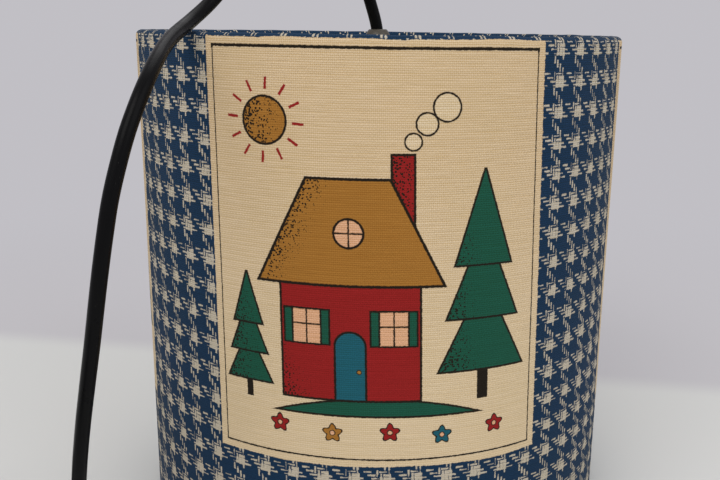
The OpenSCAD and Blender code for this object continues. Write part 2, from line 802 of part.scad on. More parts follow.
// Grub screw that holds the cup on the flex
module cup_screw() {
    color("silver") at_cup() translate([-flex_bore_r, 0, neck_h / 2]) rotate([0, -90, 0])
        grub(neck_d / 2 - flex_bore_r + 0.5);
}

// Hanger: a square body clamped on the flex's end, two ribs, and the flat hanging eye
module hanger() {
    rib_l = eye_a - hanger_a - hanger_l;
    color("ivory") at_cup() difference() {
        union() {
            translate([-hanger_w / 2, -hanger_w / 2, hanger_a]) cube([hanger_w, hanger_w, hanger_l]);
            translate([-eye_t / 2, 0, eye_a]) rotate([0, 90, 0]) cylinder(d = eye_d, h = eye_t);
            for (side = [-1, 1]) translate([-eye_t / 2, side * (hanger_w - rib_w) / 2 - rib_w / 2, hanger_a + hanger_l - cut])
                cube([eye_t, rib_w, rib_l + cut]);
        }
        translate([0, 0, hanger_a - cut]) cylinder(r = flex_r + run_gap, h = hanger_l + 2 * cut);
        translate([-eye_t, 0, eye_a]) rotate([0, 90, 0]) cylinder(d = eye_bore_d, h = 2 * eye_t);
        translate([0, 0, hanger_a + hanger_l / 2]) rotate([0, 90, 0]) cylinder(d = screw_d + 2 * screw_gap, h = hanger_w);
    }
}

module hanger_screw() {
    color("silver") at_cup() translate([flex_r + run_gap, 0, hanger_a + hanger_l / 2]) rotate([0, 90, 0])
        screw(hanger_w / 2 - flex_r, 5, 1.6);
}

// Two-pole terminal block on the hanger's upper side
module terminal_block() {
    color("whitesmoke") at_cup() difference() {
        translate([-hanger_w / 2 - block_t, -block_w / 2, block_a]) cube([block_t, block_w, block_l]);
        for (side = [-1, 1]) translate([pole_x, side * pole_step / 2, block_a]) {
            translate([0, 0, -cut]) cylinder(r = tube_r + lay_gap, h = block_l + 2 * cut);
            for (k = [1, 3]) translate([0, 0, k * block_l / 4]) rotate([0, -90, 0])
                cylinder(d = screw_d + 2 * screw_gap, h = block_t);
        }
    }
}

module block_tubes() {
    color("gold") at_cup() for (side = [-1, 1])
        translate([pole_x, side * pole_step / 2, block_a + 1]) cylinder(r = tube_r, h = block_l - 2);
}

module block_screws() {
    color("silver") at_cup() for (side = [-1, 1], k = [1, 3])
        translate([pole_x - tube_r - run_gap, side * pole_step / 2, block_a + k * block_l / 4])
            rotate([0, -90, 0]) grub(block_t / 2 - tube_r);
}

// A core from the flex's end round into its pole
module tail_core(side) {
    a = cord_end_a;
    end = block_a + block_l - 1;
    x = pole_x;
    y = side * pole_step / 2;
    lead = [0, 0, core_d / 4];
    p = [
        [0, side * 0.65 * core_d, a] + lead, [-1.2, side * 0.75 * core_d, a + 2.4], [x * 0.4, y * 0.65, a + 4],
        [x * 0.7, y * 0.9, a + 6], [x * 0.94, y, a + 5.6], [x, y, (a + end) / 2 + 2], [x, y, end] + lead
    ];
    run = smooth(p, p[0] - [0, 0, 3], p[6] - [0, 0, 3], 3);
    at_cup() tube(concat([p[0] - lead], run, [p[6] - lead]), core_d / 2, 8, [0, 1, 0]);
}

module tail_live_core() {
    color("saddlebrown") tail_core(1);
}

module tail_neutral_core() {
    color("steelblue") tail_core(-1);
}

shade_cloth();
shade_foil();
top_ring();
bottom_ring();
spider_arms();
spider_hub();
cord_grip();
grip_screw();
holder_cap();
holder_skirt();
shade_ring();
contact_carrier();
screw_shell();
centre_contact();
terminal_clamps();
terminal_screws();
live_core();
neutral_core();
bulb_contact();
bulb_insulator();
bulb_cap();
bulb_glass();
bulb_stem();
bulb_leads();
bulb_filament();
filament_supports();
flex_arch();
flex_coil();
flex_tail();
coil_tie();
ceiling_cup();
cup_screw();
hanger();
hanger_screw();
terminal_block();
block_tubes();
block_screws();
tail_live_core();
tail_neutral_core();
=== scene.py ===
"""Dresses the pendant lamp: printed cloth shade, wire frame, lampholder, bulb, black flex and ceiling cup."""

import json
import math
from math import atan2, cos, hypot, pi, radians, sin, sqrt

import bmesh
import bpy
from bpy.props import FloatProperty, FloatVectorProperty, PointerProperty
from mathutils import Matrix, Vector, noise


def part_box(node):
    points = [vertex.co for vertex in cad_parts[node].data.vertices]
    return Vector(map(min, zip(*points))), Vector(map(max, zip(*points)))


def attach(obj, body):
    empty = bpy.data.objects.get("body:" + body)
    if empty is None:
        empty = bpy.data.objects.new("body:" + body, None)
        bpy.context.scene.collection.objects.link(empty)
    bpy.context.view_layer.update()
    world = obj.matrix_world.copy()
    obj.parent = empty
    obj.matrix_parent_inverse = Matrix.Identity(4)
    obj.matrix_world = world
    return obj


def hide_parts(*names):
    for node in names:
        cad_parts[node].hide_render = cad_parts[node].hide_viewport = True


bl_info = {
    "name": "Pendant lamp",
    "version": (1, 0, 0),
    "blender": (4, 5, 0),
    "location": "View3D > Sidebar > Pendant",
    "description": "Dresses the pendant lamp's frame with cloth, plastics, metals and glass",
    "category": "Object",
}

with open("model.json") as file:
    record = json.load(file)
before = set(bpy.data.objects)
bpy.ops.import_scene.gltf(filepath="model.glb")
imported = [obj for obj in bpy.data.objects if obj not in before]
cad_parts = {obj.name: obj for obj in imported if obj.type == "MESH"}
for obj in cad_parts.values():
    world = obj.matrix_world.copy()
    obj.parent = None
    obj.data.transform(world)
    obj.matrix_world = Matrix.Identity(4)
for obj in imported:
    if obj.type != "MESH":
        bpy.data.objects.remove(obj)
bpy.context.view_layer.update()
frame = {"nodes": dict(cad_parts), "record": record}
nodes = frame["nodes"]
MM = 0.001
BODY = {node: body for body, names in frame["record"]["behaviour"]["bodies"].items() for node in names}
SLOT = {part["node"]: part["material_slot"] for part in frame["record"]["subparts"]}


def low(node, axis=2):
    """Lowest place of a node along an axis, in millimetres."""
    return round(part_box(node)[0][axis] / MM, 3)


def high(node, axis=2):
    """Highest place of a node along an axis, in millimetres."""
    return round(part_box(node)[1][axis] / MM, 3)


def ends(node):
    """Lowest and highest place of a node, in millimetres."""
    return low(node), high(node)


SHADE_R = high("shade_cloth", 0)
SHADE_H = high("shade_cloth")
# Greatest angle between faces that shade as one, in degrees
EDGE_ANGLE = 38
ROUND_ANGLE = 60


def colour(name, words, value):
    """A colour that a user can change, in linear light."""
    return FloatVectorProperty(
        name=name, description=words, subtype="COLOR", size=3, min=0, max=1, default=value
    )


def size(name, words, value):
    """A size that a user can change, in metres."""
    return FloatProperty(
        name=name, description=words, subtype="DISTANCE", unit="LENGTH", min=0, default=value
    )


class PendantCloth(bpy.types.PropertyGroup):
    """Sizes and inks of the printed cloth."""

    cream: colour("Cream", "Unprinted ground of the cloth", (0.645, 0.505, 0.314))
    # Painted shade: the unprinted ground towards the top of the shade, painted darker and yellower than the
    # cream below it
    aged_and_shaded: colour("Aged", "Unprinted ground where it has yellowed", (0.600, 0.447, 0.262))
    pale: colour("Pale", "Cloth between the ink of the dogtooth check", (0.49, 0.433, 0.33))
    navy: colour("Navy", "Ink of the dogtooth check", (0.0066, 0.0282, 0.0650))
    outline: colour("Outline", "Ink of the drawn lines", (0.014, 0.010, 0.006))
    red: colour("Red", "Ink of the walls", (0.26, 0.013, 0.012))
    ochre: colour("Ochre", "Ink of the roof", (0.33, 0.145, 0.025))
    green: colour("Green", "Ink of the trees", (0.010, 0.078, 0.046))
    peach: colour("Peach", "Ink of the windows", (0.66, 0.37, 0.21))
    teal: colour("Teal", "Ink of the door", (0.012, 0.095, 0.125))
    thickness: size("Thickness", "Thickness of the cloth", 0.5 * MM)
    check_wide: size("Check width", "Repeat of the dogtooth check across the cloth", 13.17 * MM)
    check_tall: size("Check height", "Repeat of the dogtooth check up the cloth", 12.86 * MM)
    repeat: size("Repeat", "Distance from panel to panel", 214 * MM)
    panel_wide: size("Panel width", "Width of the drawn frame of a panel", 138.6 * MM)
    panel_tall: size("Panel height", "Height of the drawn frame of a panel", 171.4 * MM)


class PendantFlex(bpy.types.PropertyGroup):
    """Size and colour of the flex."""

    sheath: colour("Sheath", "Black sheath of the flex", (0.0036, 0.0036, 0.0040))
    diameter: size("Diameter", "Outer diameter of the flex", 6 * MM)
    coil_radius: size("Coil radius", "Radius of the coil's outer turn", 40 * MM)
    coil_turns: FloatProperty(name="Turns", description="Turns in the coil", default=3.5)


class PendantFinish(bpy.types.PropertyGroup):
    """Colours of the hard parts."""

    film: colour("Film", "Stiff lining of the shade", (0.80, 0.77, 0.69))
    lacquer: colour("Lacquer", "Lacquer on the wire frame", (0.78, 0.77, 0.73))
    holder: colour("Lampholder", "Moulded lampholder", (0.060, 0.050, 0.035))
    brass: colour("Brass", "Contacts and terminals", (0.72, 0.53, 0.22))
    porcelain: colour("Porcelain", "Contact carrier", (0.84, 0.82, 0.77))
    cup: colour("Cup", "Ceiling cup", (0.012, 0.012, 0.013))
    nylon: colour("Nylon", "Hanger", (0.70, 0.67, 0.58))
    block: colour("Block", "Terminal block", (0.77, 0.737, 0.638))


class PendantStage(bpy.types.PropertyGroup):
    """Floor, background and camera."""

    table: colour("Table", "Pale floor round the lamp", (0.63, 0.635, 0.635))
    wall: colour("Wall", "Background", (0.533, 0.522, 0.555))
    focal: FloatProperty(name="Focal length", description="In pixels of a frame 720 wide", default=869.4)


class Amount:
    """A number worked out by a recipe's nodes, for use in plain sums."""

    def __init__(self, recipe, socket):
        self.recipe = recipe
        self.socket = socket

    def __add__(self, other):
        return self.recipe.math("ADD", self, other)

    def __sub__(self, other):
        return self.recipe.math("SUBTRACT", self, other)

    def __rsub__(self, other):
        return self.recipe.math("SUBTRACT", other, self)

    def __mul__(self, other):
        return self.recipe.math("MULTIPLY", self, other)

    def __truediv__(self, other):
        return self.recipe.math("DIVIDE", self, other)

    def __abs__(self):
        return self.recipe.math("ABSOLUTE", self)


class Recipe:
    """The nodes of a material or of the world. Numbers, amounts, colours and sockets may be given alike."""

    def __init__(self, owner, surface="Principled BSDF", outlet="Material Output"):
        owner.use_nodes = True
        self.owner = owner
        self.tree = owner.node_tree
        self.surface = self.tree.nodes[surface]
        self.outlet = self.tree.nodes[outlet]
        # Where noise and cells are read
        self.where = self.node("TexCoord").outputs["Object"]

    def put(self, sockets, *values):
        """Sets sockets to values, or links them to what the values come from."""
        for socket, value in zip(sockets, values):
            if isinstance(value, Amount):
                value = value.socket
            if isinstance(value, bpy.types.NodeSocket):
                self.tree.links.new(value, socket)
            elif socket.type == "RGBA" and len(value) == 3:
                socket.default_value = (*value, 1.0)
            else:
                socket.default_value = value

    def fill(self, node, inputs):
        """Sets a node's inputs by their names, with _ for a space."""
        self.put([node.inputs[name.replace("_", " ")] for name in inputs], *inputs.values())
        return node

    def node(self, kind, **inputs):
        return self.fill(self.tree.nodes.new("ShaderNode" + kind), inputs)

    def set(self, **inputs):
        self.fill(self.surface, inputs)

    def math(self, operation, *values):
        made = self.node("Math")
        made.operation = operation
        self.put(made.inputs, *values)
        return Amount(self, made.outputs[0])

    def least(self, first, second):
        return self.math("MINIMUM", first, second)

    def most(self, first, second):
        return self.math("MAXIMUM", first, second)

    def fade(self, value, start, end, first=0.0, last=1.0):
        """Smooth change from first to last as value goes from start to end."""
        made = self.node("MapRange", Value=value, From_Min=start, From_Max=end, To_Min=first, To_Max=last)
        made.interpolation_type = "SMOOTHSTEP"
        return Amount(self, made.outputs[0])

    def mix(self, share, first, second, blend="MIX"):
        """A mix of two colours."""
        made = self.node("Mix")
        made.data_type = "RGBA"
        made.blend_type = blend
        self.put((made.inputs[0], made.inputs[6], made.inputs[7]), share, first, second)
        return made.outputs[2]

    def blend(self, share, first, second):
        """A mix of two surfaces."""
        made = self.node("MixShader")
        self.put(made.inputs, share, first, second)
        return made.outputs[0]

    def uv(self, layer):
        made = self.node("UVMap")
        made.uv_map = layer
        return made.outputs[0]

    def split(self, vector):
        return [Amount(self, part) for part in self.node("SeparateXYZ", Vector=vector).outputs]

    def join(self, x, y, z=0.0):
        return self.node("CombineXYZ", X=x, Y=y, Z=z).outputs[0]

    def noise(self, scale, detail=2.0, rough=0.5, where=None):
        made = self.node("TexNoise", Vector=where or self.where, Scale=scale, Detail=detail, Roughness=rough)
        return Amount(self, made.outputs[0])

    def cells(self, scale):
        return Amount(self, self.node("TexVoronoi", Vector=self.where, Scale=scale).outputs["Distance"])

    def ray(self, kind):
        """One for rays of a kind, nought for others."""
        return Amount(self, self.node("LightPath").outputs["Is " + kind + " Ray"])

    def seen(self):
        """One for rays that look, straight or by way of shiny and clear things."""
        return self.most(self.most(self.ray("Camera"), self.ray("Glossy")), self.ray("Transmission"))

    def bump(self, height, strength, distance):
        self.set(Normal=self.node("Bump", Height=height, Strength=strength, Distance=distance).outputs[0])

    def show(self, shader):
        self.fill(self.outlet, {"Surface": shader})


# Finishes


def toned(tint, *factors):
    return tuple(part * factor for part, factor in zip(tint, factors))


def moulded(recipe, tint, rough):
    """Moulded plastic: faint flow marks, a fine mould grain and dull rubbed patches."""
    flow = recipe.fade(recipe.noise(70.0, 3.0, 0.6), 0.30, 0.75)
    rubbed = recipe.noise(180.0, 3.0, 0.65)
    recipe.set(
        Base_Color=recipe.mix(flow, tint, toned(tint, 0.80, 0.80, 0.80)),
        Roughness=recipe.fade(rubbed, 0.3, 0.75, rough, rough + 0.14),
    )
    recipe.bump(recipe.noise(2600.0), 0.12, 0.00006)


def metal(recipe, tint, rough, tarnish=0.35, streak=(1.0, 1.0, 1.0)):
    """Bare metal: drawn streaks, and tarnish that gathers in patches."""
    along = recipe.join(*(part * scale for part, scale in zip(recipe.split(recipe.where), streak)))
    drawn = recipe.noise(1400.0, 3.0, 0.6, along)
    patch = recipe.noise(160.0, 4.0, 0.6)
    dull = recipe.fade(patch, 0.45, 0.75) * tarnish
    recipe.set(
        Base_Color=recipe.mix(dull, tint, toned(tint, 0.45, 0.45, 0.45)),
        Metallic=1.0,
        Roughness=recipe.fade(drawn + patch, 0.6, 1.4, rough, rough + 0.2),
    )
    recipe.bump(drawn, 0.10, 0.00004)


def stiff_film(recipe, tint):
    """Stiff film behind the cloth: the weave shows faintly through it, and it has yellowed unevenly."""
    x, y, z = recipe.split(recipe.where)
    turn = recipe.math("ARCTAN2", x, y) * SHADE_R
    threads = recipe.math("SINE", z * (2000 * pi / 0.92))
    columns = recipe.math("SINE", turn * (2 * pi / 0.80))
    # Patches where the film has yellowed; this is the film's own colour, not painted shade
    aged_and_shaded = recipe.noise(14.0, 4.0, 0.6)
    recipe.set(
        Base_Color=recipe.mix(recipe.fade(aged_and_shaded, 0.35, 0.75), tint, toned(tint, 0.93, 0.88, 0.76)),
        Roughness=recipe.fade(aged_and_shaded, 0.3, 0.8, 0.46, 0.60),
        Specular_IOR_Level=0.35,
    )
    recipe.bump(threads * 0.6 + columns * 0.4, 0.10, 0.00005)


def lacquer(recipe, tint):
    """White lacquer over wire: slightly run, with chips down to grey metal."""
    chip = recipe.fade(recipe.noise(420.0, 3.0, 0.65), 0.68, 0.71)
    grime = recipe.fade(recipe.noise(45.0, 4.0, 0.6), 0.45, 0.75)
    paint = recipe.mix(grime, tint, toned(tint, 0.80, 0.77, 0.70))
    recipe.set(
        Base_Color=recipe.mix(chip, paint, (0.16, 0.15, 0.14)),
        Roughness=recipe.fade(chip, 0.0, 1.0, 0.30, 0.50),
    )
    recipe.bump(recipe.noise(240.0) - chip, 0.18, 0.00015)


def glazed(recipe, tint):
    """Porcelain under glaze, with a few iron specks."""
    speck = recipe.fade(recipe.cells(420.0), 0.10, 0.06)
    recipe.set(
        Base_Color=recipe.mix(speck * 0.5, tint, (0.20, 0.13, 0.08)),
        Roughness=recipe.fade(recipe.noise(120.0, 3.0), 0.3, 0.8, 0.10, 0.22),
        Coat_Weight=0.5,
    )
    recipe.bump(recipe.noise(260.0), 0.08, 0.0002)


def clear_glass(recipe, tint):
    """Blown glass with slow ripples."""
    recipe.set(Base_Color=tint, Transmission_Weight=1.0, IOR=1.5, Roughness=0.0)
    recipe.bump(recipe.noise(60.0), 0.04, 0.0004)


def solder(recipe):
    """Blob of dull solder."""
    metal(recipe, (0.60, 0.60, 0.60), 0.38)
    recipe.bump(recipe.noise(480.0, 3.0), 0.35, 0.0003)


def rubber(recipe):
    """Rubber band with fine moulded ribs and pale bloom."""
    bloom = recipe.noise(130.0, 4.0, 0.65)
    recipe.set(
        Base_Color=recipe.mix(recipe.fade(bloom, 0.4, 0.8), (0.028, 0.028, 0.029), (0.060, 0.059, 0.057)),
        Roughness=recipe.fade(bloom, 0.3, 0.8, 0.62, 0.80),
    )
    recipe.bump(recipe.noise(1800.0), 0.2, 0.00008)


def sheath(recipe):
    """Black sheath of the flex: satin, faintly rubbed, with a little dust."""
    flex = bpy.context.scene.pendant_flex
    dust = recipe.fade(recipe.noise(1100.0, 2.0, 0.6), 0.72, 0.80)
    recipe.set(
        Base_Color=recipe.mix(dust * 0.5, flex.sheath, (0.10, 0.097, 0.093)),
        Roughness=recipe.fade(recipe.noise(90.0, 3.0, 0.6), 0.3, 0.75, 0.27, 0.37),
        Specular_IOR_Level=0.07,
    )
    recipe.bump(recipe.noise(700.0, 3.0, 0.6), 0.10, 0.0002)


# Print, in millimetres round and up the shade

WEFT_PITCH = 0.91
WARP_PITCH = 0.785
CHECK_THREADS = 8
PANEL_DROP = 90.6
PANEL_MARGIN = 3.5
SUN = (-45, 57)


def printed_cloth(ink):
    """Slubbed cotton, printed with a dogtooth check and framed panels that each hold a small house."""
    cloth = bpy.context.scene.pendant_cloth
    u, v = (part * (1 / MM) for part in ink.split(ink.uv("print"))[:2])
    ink.where = ink.join(u, v)
    # Ink creeps along the threads, so every edge wanders a little
    x = u + (ink.noise(0.9, 2.0, 0.6) - 0.5) * 0.7
    y = v + (ink.noise(0.8, 2.0, 0.6, ink.join(u + 91.0, v)) - 0.5) * 0.7
    # The cloth was glued on askew and a little stretched towards the foot
    x = (x + (y - 128.0) * 0.0182) / (1.0274 - y * 0.000119)
    colour = dogtooth(ink, cloth, x, y)
    # Panels repeat round the shade, and every second one is turned about
    repeat = cloth.repeat / MM
    at = (x - 0.6) / repeat
    index = ink.math("FLOOR", at + 0.5)
    about = 1.0 - ink.math("PINGPONG", index, 1.0) * 2.0
    px = (at - index) * repeat * about
    py = y - (SHADE_H - PANEL_DROP)
    wide = cloth.panel_wide / MM / 2
    tall = cloth.panel_tall / MM / 2
    bite = (ink.noise(0.45, 3.0, 0.7) - 0.5) * 1.1
    crest = (ink.noise(0.03, 1.0, where=ink.join(u, 3.0)) - 0.5) * 2.6 + (tall + PANEL_MARGIN)
    field = ink.most(abs(px) - (wide + PANEL_MARGIN), abs(py) - crest) + bite
    # Painted shade: the ground fades from cream to a darker, yellower tone towards the top of the shade
    ground = ink.mix(ink.fade(v, 80.0, 215.0), cloth.cream, cloth.aged_and_shaded)
    colour = ink.mix(ink.fade(field, 0.2, -0.2), colour, ground)
    edge = ink.most(abs(px) - wide, abs(py) - tall)
    width = ink.fade(py, tall - 1.5, tall - 0.8, 0.26, 0.58) + ink.fade(py, -tall + 1, -tall, 0.0, 0.12)
    colour = ink.mix(ink.fade(abs(edge) - width, 0.22, -0.16), colour, cloth.outline)
    colour = house(ink, cloth, colour, px, py)
    # Threads: thick and thin wefts across, finer warps up. Their relief drives the bump, and is also painted
    # into the colour as painted shade: hollows and pores darker, crowns lighter
    slub = ink.noise(1.0, 2.0, 0.7, ink.join(u * 0.05, v * 1.1))
    knop = ink.noise(1.0, 2.0, 0.6, ink.join(u * 0.16, v * 1.6))
    weft_turn = v * (pi / WEFT_PITCH) + slub * 3.0
    warp_turn = u * (pi / WARP_PITCH) + knop * 2.0
    weft = ink.math("COSINE", weft_turn * 2.0)
    warp = ink.math("COSINE", warp_turn * 2.0)
    cross = ink.math("COSINE", weft_turn) * ink.math("COSINE", warp_turn)
    hole = ink.fade(weft, 0.0, -1.0) * ink.fade(warp, 0.0, -1.0)
    weave = weft - hole * 0.9 + (warp * 0.5 + cross * 0.45)
    stain = ink.noise(0.018, 3.0, 0.6) - 0.5
    fleck = ink.fade(ink.noise(1.0, 1.0, where=ink.join(u * 0.5, v * 0.9)), 0.76, 0.84)
    # Handling has flattened the threads towards the foot, so both their bump and their painted shade are
    # weaker there
    rib_relief_and_shade = weave * ink.fade(v, 30.0, 200.0, 0.5, 1.0)
    # The weave's painted shade, with slub tone, stains and flecks, multiplies the printed colour
    tone = rib_relief_and_shade * 0.085 + ((slub - 0.5) * 0.16 + stain * 0.12)
    level = tone + 0.985 - fleck * 0.18
    middle = level - fleck * 0.06 + rib_relief_and_shade * 0.035
    cool = level + 0.03 + (stain * 0.10 + rib_relief_and_shade * 0.13)
    ink.set(
        Base_Color=ink.mix(1.0, colour, ink.join(level, middle, cool), "MULTIPLY"),
        Roughness=0.92,
        Specular_IOR_Level=0.12,
        Sheen_Weight=0.03,
        Sheen_Roughness=0.5,
    )
    ink.bump(rib_relief_and_shade * 0.6 + slub * 2.2, 0.35, 0.00018)


def dogtooth(ink, cloth, x, y):
    """Dogtooth check: four pale and four dark threads each way, two over and two under, on the slant."""
    across = (x + 0.64) * (CHECK_THREADS * MM / cloth.check_wide)
    up = (y - 1.05) * (CHECK_THREADS * MM / cloth.check_tall)
    column, row = (ink.math("FLOOR", part) for part in (across, up))
    warp_place, weft_place = (ink.math("FLOORED_MODULO", part, CHECK_THREADS) for part in (column, row))
    pale_warp, pale_weft = (ink.math("LESS_THAN", part, 3.5) for part in (warp_place, weft_place))
    over = ink.math("GREATER_THAN", ink.math("FLOORED_MODULO", column + row, 4.0), 1.5)
    # Dark ink has spread, so a pale float is narrower than its thread, but for the lower right of each star
    swell = ink.fade(ink.noise(0.22), 0.35, 0.65, 0.08, 0.29)
    merged = ink.fade(warp_place - weft_place, -2.0, 1.2, -0.04, 0.34)
    corner = ink.fade(abs(warp_place + weft_place - 3.0), 1.5, 3.0, 0.0, 0.30)
    half = swell + pale_warp * pale_weft * (merged - corner)
    off_warp = abs(across - column - 0.5) - half
    off_weft = abs(up - row - 0.5) - half
    warp_ink = over * pale_warp * ink.fade(off_warp, 0.15, -0.15)
    weft_ink = (1.0 - over) * pale_weft * ink.fade(off_weft, 0.15, -0.15)
    return ink.mix(warp_ink + weft_ink, cloth.navy, cloth.pale)


def house(ink, cloth, colour, x, y):
    """A small house between two firs, in flat inks with drawn outlines and stippled shade."""

    def box(cx, cy, hx, hy):
        return ink.most(abs(x - cx) - hx, abs(y - cy) - hy)

    def gable(cx, foot, top, half_low, half_high):
        slope = (half_low - half_high) / (top - foot)
        side = abs(x - cx) - (half_high + slope * top - y * slope)
        return ink.most(side * (1 / hypot(1, slope)), abs(y - (foot + top) / 2) - (top - foot) / 2)

    def reach(cx, cy):
        dx = x - cx
        dy = y - cy
        return ink.math("SQRT", dx * dx + dy * dy)

    def disc(cx, cy, r):
        return reach(cx, cy) - r

    def bearing(cx, cy):
        return ink.math("ARCTAN2", x - cx, y - cy)

    def inside(shape):
        return ink.fade(shape, 0.2, -0.2)

    def lay(share, fill):
        nonlocal colour
        colour = ink.mix(share, colour, fill)

    def paint(shape, fill, stroke=0.5, shaded=None):
        lay(inside(shape), fill)
        if shaded is not None:
            spots = ink.fade(dots - ink.fade(shaded, 0.0, 22.0, 0.46, 0.02), 0.05, -0.05)
            lay(spots * inside(shape + 0.4), cloth.outline)
        lay(inside(abs(shape) - stroke), cloth.outline)

    def bar(cx, cy, pane):
        bars = ink.least(abs(x - cx), abs(y - cy)) - 0.35
        lay(inside(ink.most(bars, pane)), cloth.outline)

    dots = ink.cells(0.95)
    # Ground, chimney with its smoke, walls and roof
    paint(ink.most(disc(0, -180, 122), -66 - y), cloth.green, 0.45)
    for cx, cy, r in ((15, 50, 3.4), (20.5, 57, 4.4), (28.5, 63.5, 5.6)):
        paint(disc(cx, cy, r), cloth.cream, 0.4)
    paint(box(11, 30, 4.6, 15), cloth.red, 0.5, x - 5)
    paint(box(-11, -33, 29, 26), cloth.red, 0.5, x + 40 + (y + 59) * 0.5)
    paint(gable(-11, -9, 35, 39, 17), cloth.ochre, 0.6, x + 48 - y * 0.5)
    # Windows with bars and shutters, arched door, round attic window
    for cx in (-29, 7):
        paint(box(cx, -27, 9.6, 7.6), cloth.green, 0.4)
        pane = box(cx, -27, 6, 7.6)
        paint(pane, cloth.peach, 0.4)
        bar(cx, -26, pane)
    door = ink.least(box(-11, -47, 6.4, 12), disc(-11, -35, 6.4))
    paint(door, cloth.teal, 0.45)
    paint(disc(-7.4, -46, 0.9), cloth.ochre, 0.2)
    attic = disc(-11, 13, 6)
    paint(attic, cloth.peach, 0.5)
    bar(-11, 13, attic)
    # Firs
    for cx, foot, scale in ((45, -60, 1.0), (-56, -62, 0.56)):
        paint(box(cx, foot + 7 * scale, 2.2 * scale, 7 * scale), cloth.outline, 0.3)
        for tier in range(3):
            base = foot + (13 + 23 * tier) * scale
            fir = gable(cx, base, base + 40 * scale, (20 - 3.5 * tier) * scale, 0.3)
            paint(fir, cloth.green, 0.45, x - (cx - 15 * scale) + (y - base) * 0.3)
    # Sun with rays, and flowers
    far = reach(*SUN)
    turn = abs(ink.math("FLOORED_MODULO", bearing(*SUN) + 7.0, pi / 6) - pi / 12)
    ray = ink.most(abs(far - 14.6) - 2.4, turn * far - 0.55)
    lay(inside(ray), cloth.red)
    paint(disc(*SUN, 9.5), cloth.ochre, 0.5, x + 52)
    for cx, cy, fill in (
        (-42, -72, cloth.red), (-19, -74, cloth.ochre), (5, -73, cloth.red), (27, -75, cloth.teal),
        (51, -73, cloth.red),
    ):
        petals = ink.math("COSINE", bearing(cx, cy) * 5.0) * 0.8
        paint(reach(cx, cy) - 3.4 - petals, fill, 0.32)
        paint(disc(cx, cy, 1.1), cloth.peach, 0.22)
    return colour


# Each slot's maker and what it is given, where a word stands for one of the hard parts' colours
FINISHES = {
    "printed_cloth": (printed_cloth,),
    "shade_foil": (stiff_film, "film"),
    "white_wire": (lacquer, "lacquer"),
    "holder_plastic": (moulded, "holder", 0.36),
    "dark_screw": (metal, (0.25, 0.24, 0.23), 0.40),
    "porcelain": (glazed, "porcelain"),
    "brass": (metal, "brass", 0.24, 0.6),
    "plated_screw": (metal, (0.62, 0.61, 0.58), 0.28),
    "brown_core": (moulded, (0.16, 0.07, 0.03), 0.40),
    "blue_core": (moulded, (0.05, 0.16, 0.38), 0.40),
    "solder": (solder,),
    "black_glass": (moulded, (0.02, 0.02, 0.02), 0.08),
    "bulb_cap": (metal, (0.75, 0.75, 0.74), 0.22, 0.3, (0.2, 0.2, 3.0)),
    "lamp_glass": (clear_glass, (0.97, 0.985, 0.985)),
    "stem_glass": (clear_glass, (0.94, 0.965, 0.96)),
    "lead_wire": (metal, (0.55, 0.54, 0.52), 0.30),
    "filament": (metal, (0.22, 0.22, 0.23), 0.36),
    "flex_sheath": (sheath,),
    "tie_rubber": (rubber,),
    "cup_plastic": (moulded, "cup", 0.26),
    "hanger_plastic": (moulded, "nylon", 0.42),
    "block_plastic": (moulded, "block", 0.34),
}
MADE = {}


def material(slot):
    """The material of a slot, made when it is first asked for."""
    if slot not in MADE:
        finish = bpy.context.scene.pendant_finish
        recipe = Recipe(bpy.data.materials.new(slot))
        maker, *given = FINISHES[slot]
        maker(recipe, *(getattr(finish, value) if isinstance(value, str) else value for value in given))
        MADE[slot] = recipe.owner
    return MADE[slot]


# Modelling


def select_only(*objects):
    """Leaves nothing selected but the objects, the first of them active."""
    if bpy.context.object and bpy.context.object.mode != "OBJECT":
        bpy.ops.object.mode_set(mode="OBJECT")
    bpy.ops.object.select_all(action="DESELECT")
    for item in objects:
        item.select_set(True)
    bpy.context.view_layer.objects.active = objects[0] if objects else None


def polar(r, turn, z):
    return Vector((r * cos(turn), r * sin(turn), z))


def arc(x, z, r, start, end, steps):
    """Points on an arc, angles in degrees from the outward radius."""
    turns = (radians(start + (end - start) * i / steps) for i in range(steps + 1))
    return [(x + r * cos(a), z + r * sin(a)) for a in turns]


def rows(start, length, step):
    """Heights at even steps, to carry a thread."""
    return [start + step * i for i in range(int(length / abs(step)))]


def eased(outline, radius, closed=True, steps=3):
    """The outline with its corners rounded."""
    out = []
    count = len(outline)
    for i, corner in enumerate(outline):
        if not closed and i in (0, count - 1):
            out.append(corner)
            continue
        p = Vector(corner)
        before = Vector(outline[i - 1]) - p
        after = Vector(outline[(i + 1) % count]) - p
        cut = min(radius, 0.45 * before.length, 0.45 * after.length)
        a = p + before.normalized() * cut
        b = p + after.normalized() * cut
        for k in range(steps + 1):
            t = k / steps
            out.append(tuple((1 - t) ** 2 * a + 2 * t * (1 - t) * p + t * t * b))
    return out


